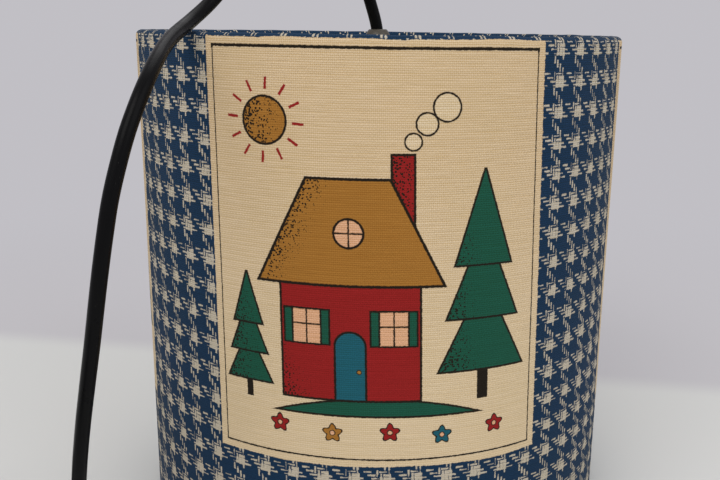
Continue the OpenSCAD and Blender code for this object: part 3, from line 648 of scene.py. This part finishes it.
def turned(name, outline, around=96, closed=True):
    """A turned piece: a point drawn out along its outline of radius and height in millimetres, then spun."""
    select_only()
    bpy.ops.mesh.primitive_plane_add(size=1)
    piece = bpy.context.object
    piece.name = name
    piece.data.name = name
    bpy.ops.object.mode_set(mode="EDIT")
    bpy.ops.mesh.merge(type="CENTER")
    bpy.ops.transform.translate(value=(outline[0][0] * MM, 0, outline[0][1] * MM))
    for (r0, z0), (r1, z1) in zip(outline, outline[1:]):
        step = ((r1 - r0) * MM, 0, (z1 - z0) * MM)
        bpy.ops.mesh.extrude_vertices_move(TRANSFORM_OT_translate={"value": step})
    if closed:
        shape = bmesh.from_edit_mesh(piece.data)
        shape.edges.new([vert for vert in shape.verts if len(vert.link_edges) == 1])
        bmesh.update_edit_mesh(piece.data)
    bpy.ops.mesh.select_all(action="SELECT")
    bpy.ops.mesh.spin(steps=around, angle=2 * pi, center=(0, 0, 0), axis=(0, 0, 1))
    bpy.ops.mesh.select_all(action="SELECT")
    bpy.ops.mesh.remove_doubles(threshold=2e-6)
    bpy.ops.mesh.normals_make_consistent(inside=False)
    bpy.ops.object.mode_set(mode="OBJECT")
    return piece


def pressed(piece, form):
    """Moves every point of a turned piece to the radius that form gives for its radius, turn and height."""
    for vert in piece.data.vertices:
        r = hypot(vert.co.x, vert.co.y)
        if r > 1e-6:
            change = form(r / MM, atan2(vert.co.y, vert.co.x), vert.co.z / MM) * MM / r
            vert.co.x *= change
            vert.co.y *= change


def lathe(node, outline, around=96, closed=True, form=None, degrees=EDGE_ANGLE):
    """A turned piece that stands for one node, pressed to a form where one is given."""
    piece = turned(node + "_finished", outline, around, closed)
    if form:
        pressed(piece, form)
    finish_piece(piece, node, degrees=degrees)


def fluted(outer, inner, count=24, depth=0.6, flute=3.0):
    """A form that cuts round flutes into a rim, outside an inner radius."""
    sector = 2 * pi / count
    axis = outer - depth + flute

    def form(r, turn, z):
        off = (turn + sector / 2) % sector - sector / 2
        reach = flute ** 2 - (axis * sin(off)) ** 2
        if r <= inner or reach <= 0:
            return r
        return min(r, axis * cos(off) - sqrt(reach))

    return form


def thread_cut(turn, z, pitch, start, end):
    """Share of a thread's depth at a turn and height, running out at both ends."""
    wave = 0.5 - 0.5 * cos(2 * pi * (z / pitch - turn / (2 * pi)))
    run_out = min(1.0, max(0.0, (z - start) / pitch), max(0.0, (end - z) / pitch))
    return wave * run_out


def cut_away(piece, place, radius, depth, way=(0, 0, 1), sides=48):
    """Cuts a round hole, centred on a place and along a way, in millimetres."""
    select_only()
    turn = Vector(way).to_track_quat("Z", "Y").to_euler()
    bpy.ops.mesh.primitive_cylinder_add(
        vertices=sides, radius=radius * MM, depth=depth * MM, location=Vector(place) * MM, rotation=turn
    )
    subtract(piece, bpy.context.object)


def subtract(piece, tool):
    """Takes a tool's shape out of a piece and removes the tool."""
    select_only(piece)
    cut = piece.modifiers.new("cut", "BOOLEAN")
    cut.operation = "DIFFERENCE"
    cut.object = tool
    bpy.ops.object.modifier_apply(modifier=cut.name)
    bpy.data.objects.remove(tool)


def strand(name, runs, diameter, sides=8):
    """Round wire or cord along one or more runs of points, in metres, with closed ends."""
    curve = bpy.data.curves.new(name, "CURVE")
    curve.dimensions = "3D"
    curve.bevel_depth = diameter / 2
    curve.bevel_resolution = max(0, sides // 4 - 1)
    curve.use_fill_caps = True
    for run in runs:
        line = curve.splines.new("POLY")
        line.points.add(len(run) - 1)
        for point, place in zip(line.points, run):
            point.co = (*place, 1.0)
    piece = bpy.data.objects.new(name, curve)
    bpy.context.scene.collection.objects.link(piece)
    select_only(piece)
    bpy.ops.object.convert(target="MESH")
    return bpy.context.object


def wired(node, runs, diameter, sides=8, degrees=ROUND_ANGLE):
    """A piece of wire that stands for one node."""
    finish_piece(strand(node + "_finished", runs, diameter, sides), node, degrees=degrees)


def softened(node, width, segments=2):
    """A copy of a CAD node with its faces joined and its edges eased."""
    piece = nodes[node].copy()
    piece.data = nodes[node].data.copy()
    piece.name = node + "_finished"
    piece.parent = None
    piece.matrix_world = Matrix.Identity(4)
    bpy.context.scene.collection.objects.link(piece)
    select_only(piece)
    bpy.ops.object.mode_set(mode="EDIT")
    bpy.ops.mesh.select_all(action="SELECT")
    bpy.ops.mesh.remove_doubles(threshold=2e-6)
    bpy.ops.mesh.dissolve_limited(angle_limit=radians(0.5))
    bpy.ops.object.mode_set(mode="OBJECT")
    edge = piece.modifiers.new("edge", "BEVEL")
    edge.width = width * MM
    edge.segments = segments
    edge.limit_method = "ANGLE"
    edge.angle_limit = radians(32)
    bpy.ops.object.modifier_apply(modifier=edge.name)
    return piece


def finish_piece(piece, *replaced, degrees=EDGE_ANGLE):
    """Gives a piece its shading, its slot's material and its body, all from the nodes that it stands for."""
    select_only(piece)
    bpy.ops.object.shade_smooth_by_angle(angle=radians(degrees))
    slot = SLOT[replaced[0]]
    piece.data.materials.clear()
    piece.data.materials.append(material(slot))
    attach(piece, BODY[replaced[0]])
    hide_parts(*replaced)


def soften_all(width, *names):
    """Finished copies of CAD nodes with their edges eased."""
    for name in names:
        finish_piece(softened(name, width), name)


def round_all(*names):
    """Finished copies of CAD cores, made rounder by subdivision."""
    for name in names:
        piece = softened(name, 0.02, 1)
        rounder = piece.modifiers.new("rounder", "SUBSURF")
        rounder.levels = 1
        bpy.ops.object.modifier_apply(modifier=rounder.name)
        finish_piece(piece, name, degrees=ROUND_ANGLE)


def spline(points, before, after, steps):
    """A smooth curve through points, with a chosen point before the first and after the last."""
    line = [Vector(p) for p in (before, *points, after)]
    out = []
    for i in range(1, len(line) - 2):
        a, b, c, d = line[i - 1:i + 3]
        square = 2 * a - 5 * b + 4 * c - d
        cube = 3 * b - a - 3 * c + d
        for k in range(steps):
            t = k / steps
            out.append(0.5 * (2 * b + (c - a) * t + square * t ** 2 + cube * t ** 3))
    return out + [line[-2]]


def free_spline(points, steps):
    """A smooth curve through points in millimetres that runs on straight at both ends, in metres."""
    first, second, *_, last_but_one, last = (Vector(p) for p in points)
    return [p * MM for p in spline(points, 2 * first - second, 2 * last - last_but_one, steps)]


# Flex

ARCH = (
    (0, 0, 214), (0, 0, 229), (0, 0, 237), (-1, -0.8, 244.5), (-4, -3, 255), (-8, -7, 267),
    (-14, -13.5, 277.5), (-22.5, -22.5, 284.5), (-33, -33.5, 286.5), (-44, -45.5, 282.5), (-54.5, -57, 273),
    (-63.5, -67.5, 262), (-71, -77.5, 252), (-76.3, -88, 245.4), (-79.2, -100, 241), (-80.3, -112, 237.8),
    (-80.7, -124, 234.2), (-80.9, -135.2, 229.7), (-81.9, -145, 223.6), (-83.9, -152, 215.9),
    (-86.7, -156.6, 206.5), (-89.7, -159.4, 195.5), (-92.6, -161.5, 183.5), (-95, -162.5, 171),
    (-97.4, -162.5, 158.5), (-100.2, -161, 145), (-104, -157.5, 128.5), (-108.6, -152.7, 110.5),
    (-113.6, -147, 91), (-118.5, -140.5, 70.5), (-122.7, -133.2, 50.8), (-125.2, -127, 33),
    (-127.9, -120.8, 21.3), (-131.2, -113.3, 11.9), (-134.4, -104.7, 6.2),
)
BELOW_ARCH = (0, 0, 189)
# Distance along and height of the run from the coil to the cup
TAIL = ((12, 12), (24, 17), (36, 23), (48, 28), (58, 30), (66, 30), (82, 30), (94, 30), (106, 30))
COIL_CENTRE = Vector((-178, -99.5, 0))
COIL_START = atan2(7, 24)
COIL_STEP = 6.7
COIL_LOW = 4.3


def coil_way(angle):
    return polar(1, angle + pi / 2, 0)


def coil_point(angle, flex):
    """A point on the coil: wound in on the lower layer and out on the upper one."""
    sweep = 2 * pi * flex.coil_turns
    radius = flex.coil_radius / MM - COIL_STEP * min(angle, sweep - angle) / (2 * pi)
    climb = max(0.0, min(1.0, (angle - sweep / 2) / pi + 0.5))
    height = COIL_LOW + COIL_STEP * (1 - cos(pi * climb)) / 2
    return COIL_CENTRE + polar(radius, COIL_START + angle, height)


def flex_path(flex):
    """The whole flex from the lampholder to the ceiling end, in metres."""
    sweep = 2 * pi * flex.coil_turns
    lead = flex.diameter / MM
    in_way = coil_way(COIL_START)
    out_way = coil_way(COIL_START + sweep)
    first = coil_point(0, flex) - lead * in_way
    last = coil_point(sweep, flex) + lead * out_way
    arch = spline((*ARCH, first), BELOW_ARCH, Vector(ARCH[-1]) + 4 * lead * in_way, 8)
    steps = round(flex.coil_turns * 60)
    coil = [coil_point(sweep * i / steps, flex) for i in range(steps + 1)]
    rise = [Vector((last.x + s * out_way.x, last.y + s * out_way.y, z)) for s, z in TAIL]
    tail = spline((last, *rise), rise[0] - 4 * lead * out_way, rise[-2] + 4 * lead * out_way, 8)
    return [p * MM for p in arch + coil + tail]


class PendantMakeFlex(bpy.types.Operator):
    """Round flex: out of the grip, over the rim, down to its coil and on to the ceiling cup"""

    bl_idname = "pendant.make_flex"
    bl_label = "Flex"

    def execute(self, context):
        flex = context.scene.pendant_flex
        path = flex_path(flex)
        piece = strand("flex", [path], flex.diameter, 28)
        finish_piece(piece, "flex_arch", "flex_coil", "flex_tail", degrees=ROUND_ANGLE)
        run = sum((b - a).length for a, b in zip(path, path[1:]))
        return {"FINISHED"}


# Ceiling end

CUP_WAY = Vector((0.28, -0.96, 0))
CUP_PLACE = (
    Matrix.Translation((-0.191760, -0.195180, 0.030))
    @ Matrix.Rotation(atan2(CUP_WAY.y, CUP_WAY.x), 4, "Z")
    @ Matrix.Rotation(pi / 2, 4, "Y")
)
CUP_R = 30
CUP_LONG = 48
SCREW_HOLE_R = 1.6


class PendantMakeCeilingEnd(bpy.types.Operator):
    """Ceiling cup with its grub screw, the hanger with its eye, and the terminal block"""

    bl_idname = "pendant.make_ceiling_end"
    bl_label = "Ceiling end"

    def execute(self, context):
        outside = [(7, 0), (7, 7.2), (7.8, 8)] + arc(16, 22, 14, -90, 0, 14)
        outside += [(CUP_R, CUP_LONG - 2.4), (CUP_R, CUP_LONG)]
        inside = [(28, CUP_LONG)] + arc(16, 22, 12, 0, -90, 12) + [(3.3, 10), (3.3, 0.6), (3.9, 0)]
        cup = turned("ceiling_cup_finished", eased(outside + inside, 0.5))
        pressed(cup, self.grooved)
        cut_away(cup, (-7, 0, 4), SCREW_HOLE_R, 10, (1, 0, 0), 24)
        cup.data.transform(CUP_PLACE)
        finish_piece(cup, "ceiling_cup")
        soften_all(0.12, "cup_screw", "hanger_screw", "block_screws", "block_tubes")
        soften_all(0.5, "hanger", "terminal_block")
        soften_all(0.25, "coil_tie")
        round_all("tail_live_core", "tail_neutral_core")
        return {"FINISHED"}

    def grooved(self, r, turn, along):
        """A fine groove near the cup's rim."""
        if r <= CUP_R - 0.5:
            return r
        return r - 0.35 * max(0.0, 1 - abs(along - (CUP_LONG - 4.5)) / 0.7)


# Cloth cover

HEM_R = 118.5
HEM_LIP_R = 114.45
# Depth of the hem's rows below the fold
HEM_ROWS = ((HEM_R, 16), (HEM_R, 7), (HEM_LIP_R, 0.8))
FOLD_R = (SHADE_R - HEM_LIP_R) / 2
FOLD_X = SHADE_R - FOLD_R
FOLD_LOW = 2.575
FOLD_HIGH = SHADE_H - FOLD_R
# Where the cloth laps at the back, as a turn from the front
LAP = 2.958
LAP_WIDE = 0.06
ARM_R = 28.8
ARM_Z = 185.7
ARM_SLOPE = 0.5487
NOTCH_REACH = 79.7
NOTCH_R = 2.75
NOTCH_LONG = 19.4


def lean(x, z):
    """How far the shade's stretched cloth pulls its top out of true, in millimetres."""
    return -(0.3 + 0.010 * x) * max(0.0, z) / SHADE_H


def pulled(piece, reach=lambda r: 1.0):
    """Moves a piece of the frame with the lean of the cloth."""
    for vert in piece.data.vertices:
        x, y, z = vert.co / MM
        vert.co.z += lean(x, z) * reach(hypot(x, y)) * MM


def cover_section(t, count, steps):
    """One side of the cover, t in from its outside, from hem to hem: radius, height, print."""
    r = FOLD_R - t
    fold = FOLD_R * pi
    line = [(x + t, FOLD_LOW + d, FOLD_LOW - fold - d) for x, d in HEM_ROWS]
    for i in range(steps + 1):
        a = pi * i / steps
        z = max(0, FOLD_LOW - r * sin(a))
        line.append((FOLD_X - r * cos(a), z, FOLD_LOW - fold * (1 - i / steps)))
    for i in range(1, count):
        z = FOLD_LOW + (FOLD_HIGH - FOLD_LOW) * i / count
        line.append((SHADE_R - t, z, z))
    for i in range(steps + 1):
        a = pi * i / steps
        line.append((FOLD_X + r * cos(a), FOLD_HIGH + r * sin(a), FOLD_HIGH + fold * i / steps))
    return line + [(x + t, FOLD_HIGH - d, FOLD_HIGH + fold + d) for x, d in HEM_ROWS[::-1]]


class PendantMakeCover(bpy.types.Operator):
    """Printed cloth cover, turned in over both rings and notched for the arms"""

    bl_idname = "pendant.make_cover"
    bl_label = "Cloth cover"

    def execute(self, context):
        cloth = context.scene.pendant_cloth
        outer = cover_section(0.0, 64, 12)
        inner = cover_section(cloth.thickness / MM, 8, 8)
        section = outer + inner[::-1]
        piece = turned("shade_cover", [(r, z) for r, z, v in section], around=360)
        for arm in range(3):
            way = polar(1, radians(90 + 120 * arm), ARM_SLOPE)
            place = way * NOTCH_REACH + Vector((ARM_R * way.x, ARM_R * way.y, ARM_Z))
            cut_away(piece, place, NOTCH_R, NOTCH_LONG, way)
        self.unwrap(piece, {(round(r, 2), round(z, 2)): v for r, z, v in section})
        self.ease(piece)
        finish_piece(piece, "shade_cloth", degrees=50)
        return {"FINISHED"}

    def unwrap(self, piece, printed):
        """A flat map of the print in metres: round the shade from its front to the lap, and up the cloth."""
        layer = piece.data.uv_layers.new(name="print")
        spots = []
        for vert in piece.data.vertices:
            x, y, z = vert.co / MM
            v = printed.get((round(hypot(x, y), 2), round(z, 2)), z)
            turn = atan2(x, -y)
            spots.append((turn - 2 * pi if turn > LAP else turn, v * MM))
        for face in piece.data.polygons:
            turns = [spots[i][0] for i in face.vertices]
            wraps = max(turns) - min(turns) > pi
            for loop, i in zip(face.loop_indices, face.vertices):
                turn, v = spots[i]
                if wraps and turn < 0:
                    turn += 2 * pi
                layer.data[loop].uv = (turn * SHADE_R * MM, v)

    def ease(self, piece):
        """Slight unevenness of stretched cloth, and the raised lap at the back."""
        for vert in piece.data.vertices:
            x, y, z = vert.co / MM
            r = hypot(x, y)
            turn = atan2(x, -y)
            ring = Vector((sin(turn), cos(turn), 0))
            slow = noise.noise(1.6 * ring + Vector((0, 0, z * 0.009)))
            fine = noise.noise(6 * ring + Vector((0, 0, z * 0.03 + 7)))
            push = 0.28 * slow + 0.12 * fine
            if r < SHADE_R - 1:
                push *= 0.3
            elif 0 < LAP - turn < LAP_WIDE:
                push += 0.35
            vert.co.x += push * MM * x / r
            vert.co.y += push * MM * y / r
            vert.co.z += lean(x, z) * MM
            if z > SHADE_H - 6:
                vert.co.z += 0.3 * MM * noise.noise(9 * ring + Vector((0, 0, 3)))


# Wire frame

FILM = 0.4
WELD_TURN = 1.2
HUB_BORE_R = 20.25


def band(inner, outer, foot, top):
    """Outline of a plain band."""
    return [(inner, foot), (outer, foot), (outer, top), (inner, top)]


class PendantMakeFrame(bpy.types.Operator):
    """Stiff film, two wire rings, three arms and the hub washer"""

    bl_idname = "pendant.make_frame"
    bl_label = "Shade frame"

    def execute(self, context):
        film_out = high("shade_foil", 0)
        film = turned("shade_film", band(film_out - FILM, film_out, *ends("shade_foil")), around=240)
        pulled(film)
        finish_piece(film, "shade_foil")
        for node in ("top_ring", "bottom_ring"):
            foot, top = ends(node)
            wire = (top - foot) / 2
            outline = arc(high(node, 0) - wire, (foot + top) / 2, wire, 0, 360 * 31 / 32, 31)
            ring = turned(node + "_finished", outline, around=180)
            pressed(ring, lambda r, turn, z: r - 0.25 * max(0.0, 1 - abs(turn - WELD_TURN) / 0.02))
            pulled(ring)
            finish_piece(ring, node, degrees=ROUND_ANGLE)
        arms = softened("spider_arms", 0.3)
        pulled(arms, lambda r: max(0.0, min(1.0, (r - 24) / 90)))
        finish_piece(arms, "spider_arms")
        hub = band(HUB_BORE_R, high("spider_hub", 0), *ends("spider_hub"))
        lathe("spider_hub", eased(hub, 0.35), 120)
        return {"FINISHED"}


# Lampholder

GRIP_SINK = 1.6
GRIP_FLAT = 6.5
GRIP_MOUTH_R = 4.4
CAP_R = 22.5
CAP_FLUTES = fluted(CAP_R, 20.6)
SKIRT_R = 19.75
SKIRT_PITCH = 2.8
RING_R = 28
SCREW_PITCH = 3.6
SHELL_R = 13.8
SHELL_WALL = 0.4


class PendantMakeHolder(bpy.types.Operator):
    """Cord grip, cap, skirt and shade ring"""

    bl_idname = "pendant.make_holder"
    bl_label = "Lampholder"

    def execute(self, context):
        self.grip()
        self.cap()
        self.skirt()
        self.shade_ring()
        return {"FINISHED"}

    def grip(self):
        foot = high("holder_cap")
        top = high("cord_grip") - GRIP_SINK
        dome = top - sqrt(GRIP_FLAT ** 2 - GRIP_MOUTH_R ** 2)
        outline = [(3.3, foot - 8), (4.9, foot - 8), (4.9, foot), (6.9, foot), (7.6, foot + 0.35)]
        outline += [(7.6, foot + 7.6), (6.9, foot + 8), (GRIP_FLAT, foot + 8)]
        outline += arc(0, dome, GRIP_FLAT, 0, math.degrees(atan2(top - dome, GRIP_MOUTH_R)), 10)
        outline += [(4.1, top - 0.05), (3.3, top - 4)]
        piece = turned("cord_grip_finished", eased(outline, 0.25))

        def hexagon(r, turn, z):
            if r < GRIP_FLAT + 0.05 or z < foot - 0.01:
                return r
            return min(r, GRIP_FLAT / cos(turn % (pi / 3) - pi / 6))

        pressed(piece, hexagon)
        cut_away(piece, (0, -6, foot + 4), SCREW_HOLE_R, 6, (0, 1, 0), 24)
        finish_piece(piece, "cord_grip")
        soften_all(0.12, "grip_screw")

    def cap(self):
        base, top = ends("holder_cap")
        outline = [(CAP_R, base)] + arc(-3.393, base + 11, 25.893, 0, 62.66, 18)
        outline += [(5, top), (5, top - 8), (7.9, top - 8), (7.9, top - 2.6)]
        outline += arc(-3.393, base + 11, 23.293, 60, 0, 12) + [(19.9, base)]
        lathe("holder_cap", eased(outline, 0.3), 240, form=CAP_FLUTES)

    def skirt(self):
        base = low("holder_cap")
        foot, top = ends("holder_skirt")
        flange = base - 4
        collar = [(17, top), (19.8, top), (19.8, base), (CAP_R, base), (CAP_R, flange), (SKIRT_R, flange)]
        outline = eased(collar, 0.25)
        outline += [(SKIRT_R, z) for z in rows(flange - 0.6, flange - foot - 2, -0.35)]
        outline += eased([(SKIRT_R, foot + 1.3), (19.1, foot), (18.3, foot), (17, foot + 1.3)], 0.3)

        def form(r, turn, z):
            if z > flange - 0.3:
                return CAP_FLUTES(r, turn, z)
            return r - 0.55 * thread_cut(turn, z, SKIRT_PITCH, foot + 1.5, flange - 1) if r > 19.3 else r

        lathe("holder_skirt", outline, 240, form=form)

    def shade_ring(self):
        foot, top = ends("shade_ring")
        outline = [(20.05, top), (RING_R, top), (RING_R, top - 2.5), (22.45, top - 2.5)]
        outline += [(22.45, foot), (20.05, foot)]
        lathe("shade_ring", eased(outline, 0.35), 240, form=fluted(RING_R, 26.5))


class PendantMakeSocket(bpy.types.Operator):
    """Porcelain, brass screw shell, contact tongue, clamps and cores inside the lampholder"""

    bl_idname = "pendant.make_socket"
    bl_label = "Socket"

    def execute(self, context):
        soften_all(0.5, "contact_carrier")
        soften_all(0.12, "centre_contact", "terminal_screws")
        soften_all(0.3, "terminal_clamps")
        round_all("live_core", "neutral_core")
        foot, top = ends("screw_shell")
        inner = SHELL_R - SHELL_WALL
        steps = rows(foot, top - foot - 1, 0.45)
        outline = [(SHELL_R, z) for z in steps] + [(SHELL_R, top - 0.3), (13.5, top), (6, top)]
        outline += [(6, top - SHELL_WALL), (inner, top - SHELL_WALL)] + [(inner, z) for z in steps[::-1]]
        shell = turned("screw_shell_finished", outline)

        def form(r, turn, z):
            return r + 0.45 * thread_cut(turn, z, SCREW_PITCH, foot + 0.5, top - 2) if r > 13 else r

        pressed(shell, form)
        # Window in the shell's floor for the contact tongue
        select_only()
        place = Vector((8, 0, top - 0.2)) * MM
        bpy.ops.mesh.primitive_cube_add(size=1, location=place, scale=Vector((12, 10, 1.4)) * MM)
        subtract(shell, bpy.context.object)
        finish_piece(shell, "screw_shell")
        return {"FINISHED"}


# Bulb

BULB_R = 30
NECK_R = 12.65
THROAT_Z = 143.2
GLASS = 0.8
FILAMENT_R = 11
FILAMENT_OPEN = radians(60)
FILAMENT_TURNS = 90
FILAMENT_COIL_R = 0.33


class PendantMakeBulb(bpy.types.Operator):
    """Clear bulb: contact, insulator, threaded cap, blown glass, stem, leads and coiled filament"""

    bl_idname = "pendant.make_bulb"
    bl_label = "Bulb"

    def execute(self, context):
        self.cap()
        self.glass()
        self.mount()
        return {"FINISHED"}

    def cap(self):
        foot, top = ends("bulb_contact")
        outline = [(0, foot), (4.6, foot), (4.6, foot + 0.5), (2.9, top - 0.1), (0, top)]
        lathe("bulb_contact", eased(outline, 0.4, False), 64, False, degrees=ROUND_ANGLE)
        foot, top = ends("bulb_insulator")
        outline = [(0, foot), (11.1, foot), (9.4, foot + 1.6), (7.2, top - 1.6), (5, top), (0, top)]
        lathe("bulb_insulator", eased(outline, 0.6, False), 64, False, degrees=ROUND_ANGLE)
        foot, top = ends("bulb_cap")
        steps = rows(foot + 2.5, top - foot - 5, 0.45)
        outline = [(13.7, foot), (13.5, foot + 1)] + [(13.1, z) for z in steps]
        outline += [(13.1, top - 2.4), (11.1, top), (10.7, top), (12.7, top - 2.6)]
        outline += [(12.7, z) for z in steps[::-1]] + [(12.7, foot)]

        def form(r, turn, z):
            return r - 0.7 * thread_cut(turn, z, SCREW_PITCH, foot + 2.5, top - 2) if z < top - 2 else r

        lathe("bulb_cap", outline, form=form, degrees=ROUND_ANGLE)

    def glass(self):
        foot, top = ends("bulb_glass")
        ball = foot + BULB_R
        rise = THROAT_Z - ball
        throat = (rise ** 2 / (BULB_R - NECK_R) - (BULB_R + NECK_R)) / 2
        meet = math.degrees(atan2(rise, NECK_R + throat))
        walls = []
        for wall in (0.0, GLASS):
            side = arc(0, ball, BULB_R - wall, -90, meet, 36)
            side += arc(NECK_R + throat, THROAT_Z, throat + wall, 180 + meet, 180, 14)
            walls.append(side + [(NECK_R - wall, THROAT_Z + 6), (NECK_R - wall, top)])
        outline = walls[0] + walls[1][::-1]
        outline[0] = (0, foot)
        outline[-1] = (0, foot + GLASS)
        lathe("bulb_glass", outline, closed=False, degrees=ROUND_ANGLE)

    def mount(self):
        """Stem, leads, filament supports and filament."""
        foot, top = ends("bulb_stem")
        button = foot + 2
        wire_z = sum(ends("bulb_filament")) / 2
        press = wire_z + 12
        outline = [(0, top), (11.8, top), (11.8, top - 2), (6.6, top - 9), (4, top - 17), (4, press)]
        outline += [(1.2, press - 2), (1.2, button + 2), (2.2, button + 1.4), (2.2, button - 1.4)]
        outline += [(0, button - 2)]

        def pinched(r, turn, z):
            return r * (1 - 0.45 * cos(turn) ** 2 * max(0.0, 1 - abs(z - press - 4) / 9))

        lathe("bulb_stem", eased(outline, 1.6, False, 5), 48, False, pinched, ROUND_ANGLE)
        leads = []
        for side in (-1, 1):
            end = polar(FILAMENT_R, side * (FILAMENT_OPEN - 0.05), wire_z)
            run = [(1.6, side * 2, press + 6), (1.7, side * 2.1, press - 2), (3.2, side * 4.6, press - 6)]
            run += [(end.x - 0.5, end.y - side * 0.9, wire_z + 1.6), end]
            leads.append(free_spline(run, 6))
        wired("bulb_leads", leads, 0.6 * MM)
        hook = [(1.5, button), (4, button + 0.6), (8, wire_z - 2), (10.4, wire_z - 0.8), (11.5, wire_z - 0.4)]
        hook += [(11.6, wire_z + 0.4), (10.9, wire_z + 0.6), (10.4, wire_z + 0.1)]
        props = [free_spline([polar(r, radians(a), z) for r, z in hook], 5) for a in (100, 180, 260)]
        wired("filament_supports", props, 0.4 * MM)
        coil = []
        for i in range(FILAMENT_TURNS * 10 + 1):
            along = FILAMENT_OPEN + (2 * pi - 2 * FILAMENT_OPEN) * i / (FILAMENT_TURNS * 10)
            twist = 2 * pi * i / 10
            r = FILAMENT_R + FILAMENT_COIL_R * cos(twist)
            coil.append(polar(r, along, wire_z + FILAMENT_COIL_R * sin(twist)) * MM)
        wired("bulb_filament", [coil], 0.2 * MM, 4, 80)


# Stage

FRAME_WIDE = 720
CAMERA_PLACE = (0, -0.45684, 0.24247)
# Yaw, pitch and roll in degrees
CAMERA_TURN = (-1.08, 13.77, 0.25)
LAMPS = (
    ("key", (-0.55, -1.0, 1.15), 1.0, 9.0, (1.0, 0.98, 0.96)),
    ("fill", (0.9, -0.7, 0.8), 1.2, 4.5, (0.97, 0.98, 1.0)),
    ("back", (0.1, 0.8, 1.6), 1.2, 6.0, (1.0, 1.0, 1.0)),
)
LIT_PLACE = Vector((0, 0, 0.12))


class PendantMakeStage(bpy.types.Operator):
    """Pale floor, soft light and the camera"""

    bl_idname = "pendant.make_stage"
    bl_label = "Stage"

    def execute(self, context):
        stage = context.scene.pendant_stage
        self.camera(context, stage)
        self.floor(stage)
        self.light(context, stage)
        context.scene.view_settings.view_transform = "Standard"
        return {"FINISHED"}

    def camera(self, context, stage):
        data = bpy.data.cameras.new("camera")
        data.sensor_width = 36.0
        data.lens = stage.focal / FRAME_WIDE * data.sensor_width
        data.clip_start = 0.01
        camera = bpy.data.objects.new("camera", data)
        context.scene.collection.objects.link(camera)
        yaw, pitch, roll = (radians(a) for a in CAMERA_TURN)
        aim = Matrix.Rotation(-yaw, 4, "Z") @ Matrix.Rotation(pi / 2 - pitch, 4, "X")
        camera.matrix_world = Matrix.Translation(CAMERA_PLACE) @ aim @ Matrix.Rotation(roll, 4, "Z")
        context.scene.camera = camera

    def floor(self, stage):
        """A round floor, paler in front than behind, that passes into the background far off."""
        select_only()
        bpy.ops.mesh.primitive_circle_add(vertices=96, radius=8.0, fill_type="NGON", location=(0, 0, -0.0002))
        floor = bpy.context.object
        floor.name = "floor"
        recipe = Recipe(bpy.data.materials.new("floor"))
        x, y, _ = recipe.split(recipe.where)
        behind = recipe.fade(y + x * 0.17, 0.13, 0.165)
        recipe.set(
            Base_Color=recipe.mix(behind, stage.table, stage.wall), Roughness=0.8, Specular_IOR_Level=0.2
        )
        far = recipe.fade(recipe.math("SQRT", x * x + y * y), 0.3, 0.8)
        glow = recipe.node("Emission", Color=stage.wall).outputs[0]
        lit = recipe.blend(recipe.seen() * far, recipe.surface.outputs[0], glow)
        # Clear from below
        below = recipe.ray("Camera") * recipe.node("NewGeometry").outputs["Backfacing"]
        recipe.show(recipe.blend(below, lit, recipe.node("BsdfTransparent").outputs[0]))
        floor.data.materials.append(recipe.owner)

    def light(self, context, stage):
        """Soft room light, three wide lamps, and a plain background for what looks past the floor."""
        room = Recipe(bpy.data.worlds.new("room"), "Background", "World Output")
        room.set(Color=(1.0, 0.99, 0.98), Strength=0.62)
        wall = room.node("Background", Color=stage.wall).outputs[0]
        room.show(room.blend(room.seen(), room.surface.outputs[0], wall))
        context.scene.world = room.owner
        for name, place, width, power, tint in LAMPS:
            data = bpy.data.lights.new(name, "AREA")
            data.size = width
            data.energy = power
            data.color = tint
            lamp = bpy.data.objects.new(name, data)
            context.scene.collection.objects.link(lamp)
            lamp.location = place
            lamp.rotation_euler = (LIT_PLACE - Vector(place)).to_track_quat("-Z", "Y").to_euler()


class PENDANT_PT_pieces(bpy.types.Panel):
    """Lists the lamp's pieces"""

    bl_idname = "PENDANT_PT_pieces"
    bl_label = "Pendant lamp"
    bl_space_type = "VIEW_3D"
    bl_region_type = "UI"
    bl_category = "Pendant"

    def draw(self, context):
        for maker in MAKERS:
            self.layout.operator(maker.bl_idname)


GROUPS = {
    "pendant_cloth": PendantCloth,
    "pendant_flex": PendantFlex,
    "pendant_finish": PendantFinish,
    "pendant_stage": PendantStage,
}
MAKERS = (
    PendantMakeStage, PendantMakeCeilingEnd, PendantMakeFlex, PendantMakeFrame, PendantMakeCover,
    PendantMakeHolder, PendantMakeSocket, PendantMakeBulb,
)


def register():
    for name, group in GROUPS.items():
        bpy.utils.register_class(group)
        setattr(bpy.types.Scene, name, PointerProperty(type=group))
    for maker in (*MAKERS, PENDANT_PT_pieces):
        bpy.utils.register_class(maker)


def unregister():
    for maker in (PENDANT_PT_pieces, *reversed(MAKERS)):
        bpy.utils.unregister_class(maker)
    for name, group in GROUPS.items():
        delattr(bpy.types.Scene, name)
        bpy.utils.unregister_class(group)


def main():
    register()
    bpy.ops.pendant.make_stage()
    bpy.ops.pendant.make_ceiling_end()
    bpy.ops.pendant.make_flex()
    bpy.ops.pendant.make_frame()
    bpy.ops.pendant.make_cover()
    bpy.ops.pendant.make_holder()
    bpy.ops.pendant.make_socket()
    bpy.ops.pendant.make_bulb()


if __name__ == "__main__":
    main()
